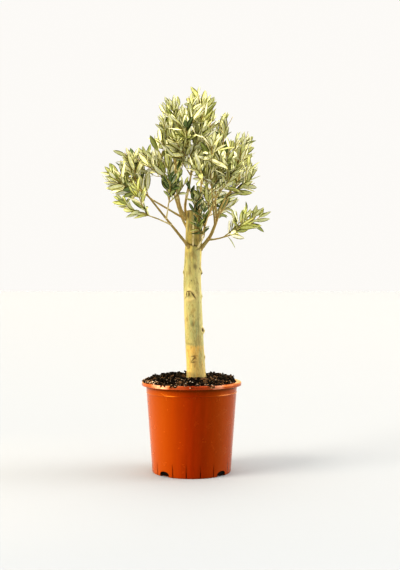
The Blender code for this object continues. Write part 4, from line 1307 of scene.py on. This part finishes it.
def curve_path(a, b, c, d):
    steps = max(2, round((d - a).length / TWIG_STEP))
    return [bezier(a, b, c, d, k / steps) for k in range(steps + 1)]


def rising_twig(root, heading, length, bend, radii):
    """A twig that leaves along its heading and turns up towards its tip."""
    lift, rise = bend
    tip = root + heading * length + UP * length * lift
    arrive = tip - (heading + UP) * length * rise
    path = curve_path(root, root + heading * length * SHOOT_PULL, arrive, tip)
    return Twig(path, taper(*radii, len(path)))


def taper(root, tip, count):
    return [root + (tip - root) * k / (count - 1) for k in range(count)]


def outward(along, turn):
    """The direction that points out of a twig at a turn about it."""
    side = along.orthogonal().normalized()
    return side * cos(turn) + along.cross(side) * sin(turn)


def stem_twig(mass, limb):
    """The stem goes on from its bough's tip and bends up to its own tip."""
    heading = (limb[-1] - limb[-2]).normalized()
    start = limb[-1] + heading * GAP
    tip = Vector(mass.tip) * MM
    reach = (tip - start).length
    arrive = ((tip - start).normalized() + UP).normalized()
    straight = start + heading * STEM_STRAIGHT
    leave = straight + heading * reach * STEM_PULL
    path = [start] + curve_path(straight, leave, tip - arrive * reach * STEM_RISE, tip)
    thickness = bough_named(mass.bough).tip_diameter
    return Twig(path, taper(thickness / 2 * MM, STEM_TIP_RADIUS, len(path)))


def shoot_twigs(mass, stem, rng):
    """Shoots leave the stem in a spiral, shorter towards its tip, and turn up."""
    twigs = []
    length_of_stem = path_length(stem.path)
    turn = rng.uniform(0, 2 * pi)
    for k in range(mass.shoots):
        place = (k + rng.random() * SHOOT_PLACE_SHARE) / mass.shoots
        t = between(*SHOOT_PLACES, place)
        root, along = walk(stem.path, t * length_of_stem)
        turn += GOLDEN_TURN + rng.uniform(-TURN_VARIETY, TURN_VARIETY)
        opening = rng.uniform(*SHOOT_SPREAD)
        heading = along * cos(opening) + outward(along, turn) * sin(opening)
        length = SHOOT_LENGTH * mass.leaf * (1 - SHOOT_SHORTENING * t) * rng.uniform(*SHOOT_VARIETY)
        twigs.append(rising_twig(root, heading, length, SHOOT_BEND, SHOOT_RADII))
    return twigs


def leaf_size(t):
    """How large a leaf is, by its place on the twig: smaller near both ends."""
    past = max(0.0, t - LEAF_SMALL_FROM) / (1 - LEAF_SMALL_FROM)
    short = max(0.0, LEAF_SMALL_UNTIL - t) / LEAF_SMALL_UNTIL
    return LEAF_LENGTH * (LEAF_FULL_SIZE - LEAF_SMALLER_TIP * past - LEAF_SMALLER_ROOT * short)


def leaves_on(twig, first, scale, rng):
    """Pairs of leaves, each pair crossing the one below, and a last pair at the tip."""
    leaves = []
    whole = path_length(twig.path)
    distance = first * scale
    turn = rng.uniform(0, pi)
    while distance < whole + LEAF_STEP * 0.5 * scale:
        t = min(distance / whole, 1.0)
        root, along = walk(twig.path, min(distance, whole - MM))
        for half in range(2):
            angle = turn + half * pi + rng.uniform(-LEAF_PLACE_VARIETY, LEAF_PLACE_VARIETY)
            out = outward(along, angle)
            opening = between(*LEAF_OPEN, t)
            opening += rng.uniform(-LEAF_OPEN_VARIETY, LEAF_OPEN_VARIETY)
            direction = along * cos(opening) + out * sin(opening)
            direction = (direction + UP * rng.uniform(*LEAF_RISE)).normalized()
            beside = out if abs(direction.dot(along)) > LEAF_ALONG_TWIG else along
            across = direction.cross(beside).normalized()
            roll = rng.uniform(-LEAF_ROLL, LEAF_ROLL)
            across = (across + direction.cross(across) * roll).normalized()
            length = leaf_size(t) * scale * rng.uniform(*LEAF_LENGTH_VARIETY)
            width = length * LEAF_SLIM * rng.uniform(*LEAF_WIDTH_VARIETY)
            leaves.append(Leaf(root - out * LEAF_ROOT_INSET, direction, across, length, width))
        turn += pi / 2 + rng.uniform(-PAIR_TURN_VARIETY, PAIR_TURN_VARIETY)
        distance += LEAF_STEP * scale * rng.uniform(*LEAF_STEP_VARIETY)
    return leaves


def point_array(points):
    return np.array([tuple(point) for point in points])


def samples(paths, step=4 * MM):
    """Points along paths, as one array."""
    points = []
    for path in paths:
        length = path_length(path)
        count = max(2, round(length / step))
        points += [walk(path, length * k / count)[0] for k in range(count + 1)]
    return point_array(points)


def nearest(points, cloud):
    """For each point, the distance to the nearest sample of the cloud."""
    return np.sqrt(((points[:, None, :] - cloud[None, :, :]) ** 2).sum(axis=2)).min(axis=1)


def limb_samples(paths):
    """Each limb as a cloud of points on its axis, with its largest radius."""
    trunk = [trunk_axis_at(z * MM) for z in TRUNK_SAMPLE_HEIGHTS]
    limbs = [(samples([trunk]), TRUNK_TOP_DIAMETER / 2 + TRUNK_MARGIN)]
    return limbs + [(samples([paths[one.name]]), one.root_diameter / 2 * MM) for one in BOUGHS]


def leaf_points(leaf):
    along = leaf.direction * leaf.length
    widest = leaf.root + along * LEAF_WIDEST
    sides = [widest + leaf.side * leaf.width * s for s in (-0.5, 0.5)]
    return point_array([leaf.root + along * t for t in LEAF_TEST_STEPS] + sides)


def has_room(points, space, name, clouds, limbs):
    """Whether points keep a space from every other mass, and clear of every limb."""
    others = [nearest(points, cloud) for other, cloud in clouds.items() if other != name]
    clear = all(np.all(nearest(points, cloud) - radius > LIMB_MARGIN) for cloud, radius in limbs)
    return clear and bool(np.all(np.min(others, axis=0) > space))


def leaf_has_room(leaf, name, clouds, limbs):
    points = leaf_points(leaf)
    space = nearest(points, clouds[name]) + SPACE_MARGIN
    return has_room(points, space, name, clouds, limbs)


def grow_all(paths):
    """Every mass's sprays: each twig with its leaves. What would leave its space is skipped."""
    limbs = limb_samples(paths)
    rngs = {mass.name: random.Random(mass.seed) for mass in MASSES}
    twigs = {mass.name: [stem_twig(mass, paths[mass.bough])] for mass in MASSES}
    clouds = {name: samples([stem.path]) for name, (stem,) in twigs.items()}
    for mass in MASSES:
        own, stem_cloud = twigs[mass.name], clouds[mass.name]
        for twig in shoot_twigs(mass, own[0], rngs[mass.name]):
            points = samples([twig.path])[2:]
            space = np.maximum(TWIG_MARGIN, nearest(points, stem_cloud) * TWIG_SPACE_SHARE)
            if has_room(points, space, mass.name, clouds, limbs):
                own.append(twig)
        clouds[mass.name] = samples([twig.path for twig in own])
    grown = {}
    for mass in MASSES:
        sprays = []
        for twig in twigs[mass.name]:
            first = LEAF_FIRST if sprays else LEAF_FIRST * 2
            leaves = leaves_on(twig, first, mass.leaf, rngs[mass.name])
            room = (mass.name, clouds, limbs)
            sprays.append((twig, [leaf for leaf in leaves if leaf_has_room(leaf, *room)]))
        grown[mass.name] = go_on(mass, sprays, clouds, limbs)
    return grown


def within(points, reach):
    low, high = reach
    return bool(np.all(points >= np.array(low)) and np.all(points <= np.array(high)))


def go_on(mass, sprays, clouds, limbs):
    """Leaf pairs between those of the rule, and twiglets with leaves of their own."""
    rng = random.Random(mass.seed + FINER_SEED)
    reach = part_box(mass.name)

    def fitting(twig, first):
        leaves = leaves_on(twig, first, mass.leaf * FINER_LEAF, rng)
        leaves = [leaf for leaf in leaves if within(leaf_points(leaf), reach)]
        return [leaf for leaf in leaves if leaf_has_room(leaf, mass.name, clouds, limbs)]

    finer = []
    for number, (twig, leaves) in enumerate(sprays):
        leaves += fitting(twig, LEAF_FIRST * (1 if number else 2) + LEAF_STEP / 2)
        if number == 0:
            continue
        turn = rng.uniform(0, 2 * pi)
        count = TWIGLETS_PER_SHOOT[mass.tint]
        for k in range(count):
            share = TWIGLET_FIRST + TWIGLET_SPAN * (k + rng.random()) / count
            root, along = walk(twig.path, share * path_length(twig.path))
            turn += GOLDEN_TURN
            heading = (along + outward(along, turn) * rng.uniform(*TWIGLET_SPREAD)).normalized()
            length = TWIGLET_LENGTH * mass.leaf * rng.uniform(*TWIGLET_VARIETY)
            twiglet = rising_twig(root, heading, length, TWIGLET_BEND, TWIGLET_RADII)
            points = samples([twiglet.path])[1:]
            if has_room(points, TWIG_MARGIN, mass.name, clouds, limbs) and within(points, reach):
                finer.append((twiglet, fitting(twiglet, LEAF_FIRST * TWIGLET_LEAF_FIRST)))
    return sprays + finer


# Leaves: each a thin closed blade with a pale midrib and a silvery underside

def leaf_blade(verts, margins, leaf, rng):
    """Append one leaf's points: a petiole, then a lance-shaped blade that is folded along its
    midrib, twisted and curled, and ends in a point."""
    normal = leaf.side.cross(leaf.direction)
    curl = LEAF_CURL * rng.uniform(*CURL_VARIETY)
    sway = rng.uniform(-BLADE_SWAY, BLADE_SWAY)
    twist = rng.uniform(-BLADE_TWIST, BLADE_TWIST)
    fold = rng.uniform(*BLADE_FOLD)
    rib = min(RIB_WIDTH, leaf.width * RIB_SHARE)
    for u, share in LEAF_STATIONS:
        centre = leaf.root + leaf.direction * leaf.length * BLADE_LENGTH * u
        centre += (leaf.side * sway * sin(pi * u) - normal * curl * u * u) * leaf.length
        if not share:
            verts.append(centre)
            margins.append(0.7 * u)
            continue
        side = leaf.side * cos(twist * u) + normal * sin(twist * u)
        up = side.cross(leaf.direction)
        half = leaf.width / 2 * share * BLADE_BREADTH
        edge = half * fold
        rib_edge = rib * share + RIB_EDGE
        for across, lift in (
            (-half, edge), (-rib_edge, BLADE_THICK), (rib_edge, BLADE_THICK), (half, edge),
            (0.0, -BLADE_THICK),
        ):
            verts.append(centre + side * across + up * lift)
            margins.append(abs(across) / half)


def leaf_faces(first):
    """The 30 faces of a leaf whose points start at a number: blade, petiole and tip."""
    rings = len(LEAF_STATIONS) - 2
    last = first + 1 + rings * LEAF_SIDES
    faces = sleeve(first + 1, rings, LEAF_SIDES) + cap(first + 1, first, LEAF_SIDES, over=False)
    return faces + cap(last - LEAF_SIDES, last, LEAF_SIDES)


def pick(weights, chance):
    """The name that a chance from 0 to 1 falls on."""
    for name, weight in weights.items():
        chance -= weight / sum(weights.values())
        if chance < 0:
            break
    return name


def shade_counts(leaves):
    """For each leaf, how many others stand between it and the open air outside the crown."""
    middles = point_array([leaf.root + leaf.direction * leaf.length / 2 for leaf in leaves])
    counts = []
    for middle in middles:
        outside = middle - np.array(CROWN_MIDDLE)
        outside /= np.linalg.norm(outside)
        apart = middles - middle
        along = apart @ outside
        beside = np.linalg.norm(apart - along[:, None] * outside, axis=1)
        shading = (along > SHADE_NEAREST) & (along < SHADE_REACH) & (beside < SHADE_WIDTH)
        counts.append(int(np.sum(shading)))
    return counts


def group_of(mass, depth):
    """Which shares of the tints a leaf takes: grey masses are shaded within."""
    if mass.tint != "grey":
        return mass.tint
    if depth < OUTER_COUNT:
        return "outer"
    return "shaded" if depth >= SHADE_COUNT else "grey"


def make_leaves(grown):
    """Deal the sprays out to the tints, and join each tint's leaves in one piece."""
    rng = random.Random(TINT_SEED)
    dealt = {tint: [] for tint in TINTS}
    every = [leaf for mass in MASSES for _, leaves in grown[mass.name] for leaf in leaves]
    shade = iter(shade_counts(every))
    for mass in MASSES:
        for _, leaves in grown[mass.name]:
            spray = rng.random()
            for leaf in leaves:
                weights = SPRAY_TINTS[group_of(mass, next(shade))]
                chance = rng.random() if rng.random() < STRAY_LEAF else spray
                dealt[pick(weights, chance)].append(leaf)
    pieces = []
    for tint, leaves in dealt.items():
        verts, faces, margins = [], [], []
        for leaf in leaves:
            faces += leaf_faces(len(verts))
            leaf_blade(verts, margins, leaf, rng)
        slot, upper, under, rib = TINTS[tint]
        finishes = [leaf_upper(tint, upper), leaf_under(tint, under), leaf_rib(tint, rib)]
        piece = mesh_piece("leaves_" + tint, verts, faces, finishes, LEAF_FINISHES * len(leaves))
        keep_on_points(piece, "margin", margins)
        piece.data.set_sharp_from_angle(angle=radians(60))
        pieces.append((piece, slot))
    return pieces


def edged(tree, colour, hex_colour):
    """The blade turns golden towards its margin, and its outermost edge is darkened with painted
    shade.
    """
    margin = add(tree, "ShaderNodeAttribute", attribute_name="margin").outputs["Fac"]
    golden = shaded(hex_colour, GOLDEN_SHADE, GOLDEN_TONE)
    colour = mixed(tree, ranged(tree, margin, 0.3, 0.68, 0.0, 0.9), colour, golden)
    painted_edge_shade = shaded(hex_colour, MARGIN_SHADE, MARGIN_TONE)
    return mixed(tree, ranged(tree, margin, 0.7, 0.84), colour, painted_edge_shade)


def leaf_upper(tint, hex_colour):
    """The upper side of an olive leaf: leathery, with a wax that gives a soft shine, and
    mottled 6 mm across, from leaf to leaf and within each."""
    material, tree, place = new_material("olive_leaf_upper_" + tint, 0.36, 0.5)
    mottle = grain(tree, place, 160, 4, 0.6)
    darker, lighter = shaded(hex_colour, 0.78), shaded(hex_colour, 1.2)
    tone = ramp(tree, mottle, (0.3, darker), (0.5, hex_colour), (0.72, lighter))
    dress(tree, edged(tree, tone, hex_colour), mottle, 0.2, 0.3 * MM)
    return material


def leaf_under(tint, hex_colour):
    """The underside: a felt of tiny pale scales, so silvery and quite matt."""
    material, tree, place = new_material("olive_leaf_underside_" + tint, 0.72, 0.3)
    felt = grain(tree, place, 420, 4, 0.7)
    tone = ramp(tree, felt, (0.3, shaded(hex_colour, 0.86)), (0.7, shaded(hex_colour, 1.06)))
    dress(tree, edged(tree, tone, hex_colour))
    return material


def leaf_rib(tint, hex_colour):
    """Midrib and petiole: yellowish and smooth."""
    material, tree, place = new_material("olive_leaf_midrib_" + tint, 0.5, 0.4)
    tone = ramp(tree, grain(tree, place, 300, 2), (0.3, shaded(hex_colour, 0.9)), (0.7, hex_colour))
    dress(tree, tone)
    return material


# The whole object

def main():
    make_camera()
    make_studio()
    make_lights()
    paths = all_bough_paths()
    grown = grow_all(paths)
    mass_nodes = [mass.name for mass in MASSES]
    finished = [
        (make_pot(), "pot_plastic", ["pot"]),
        (make_soil_bed(), "bark_soil", ["soil"]),
        (make_chips(), "bark_soil", ["soil"]),
        (make_trunk(), "trunk_bark", ["trunk"]),
        (make_boughs(paths), "bough_bark", [bough.name for bough in BOUGHS]),
        (make_twigs(grown), "bough_bark", mass_nodes),
    ]
    finished += [(piece, slot, mass_nodes) for piece, slot in make_leaves(grown)]
    for piece, slot, nodes in finished:
        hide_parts(*nodes)
        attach(piece, "root")


main()
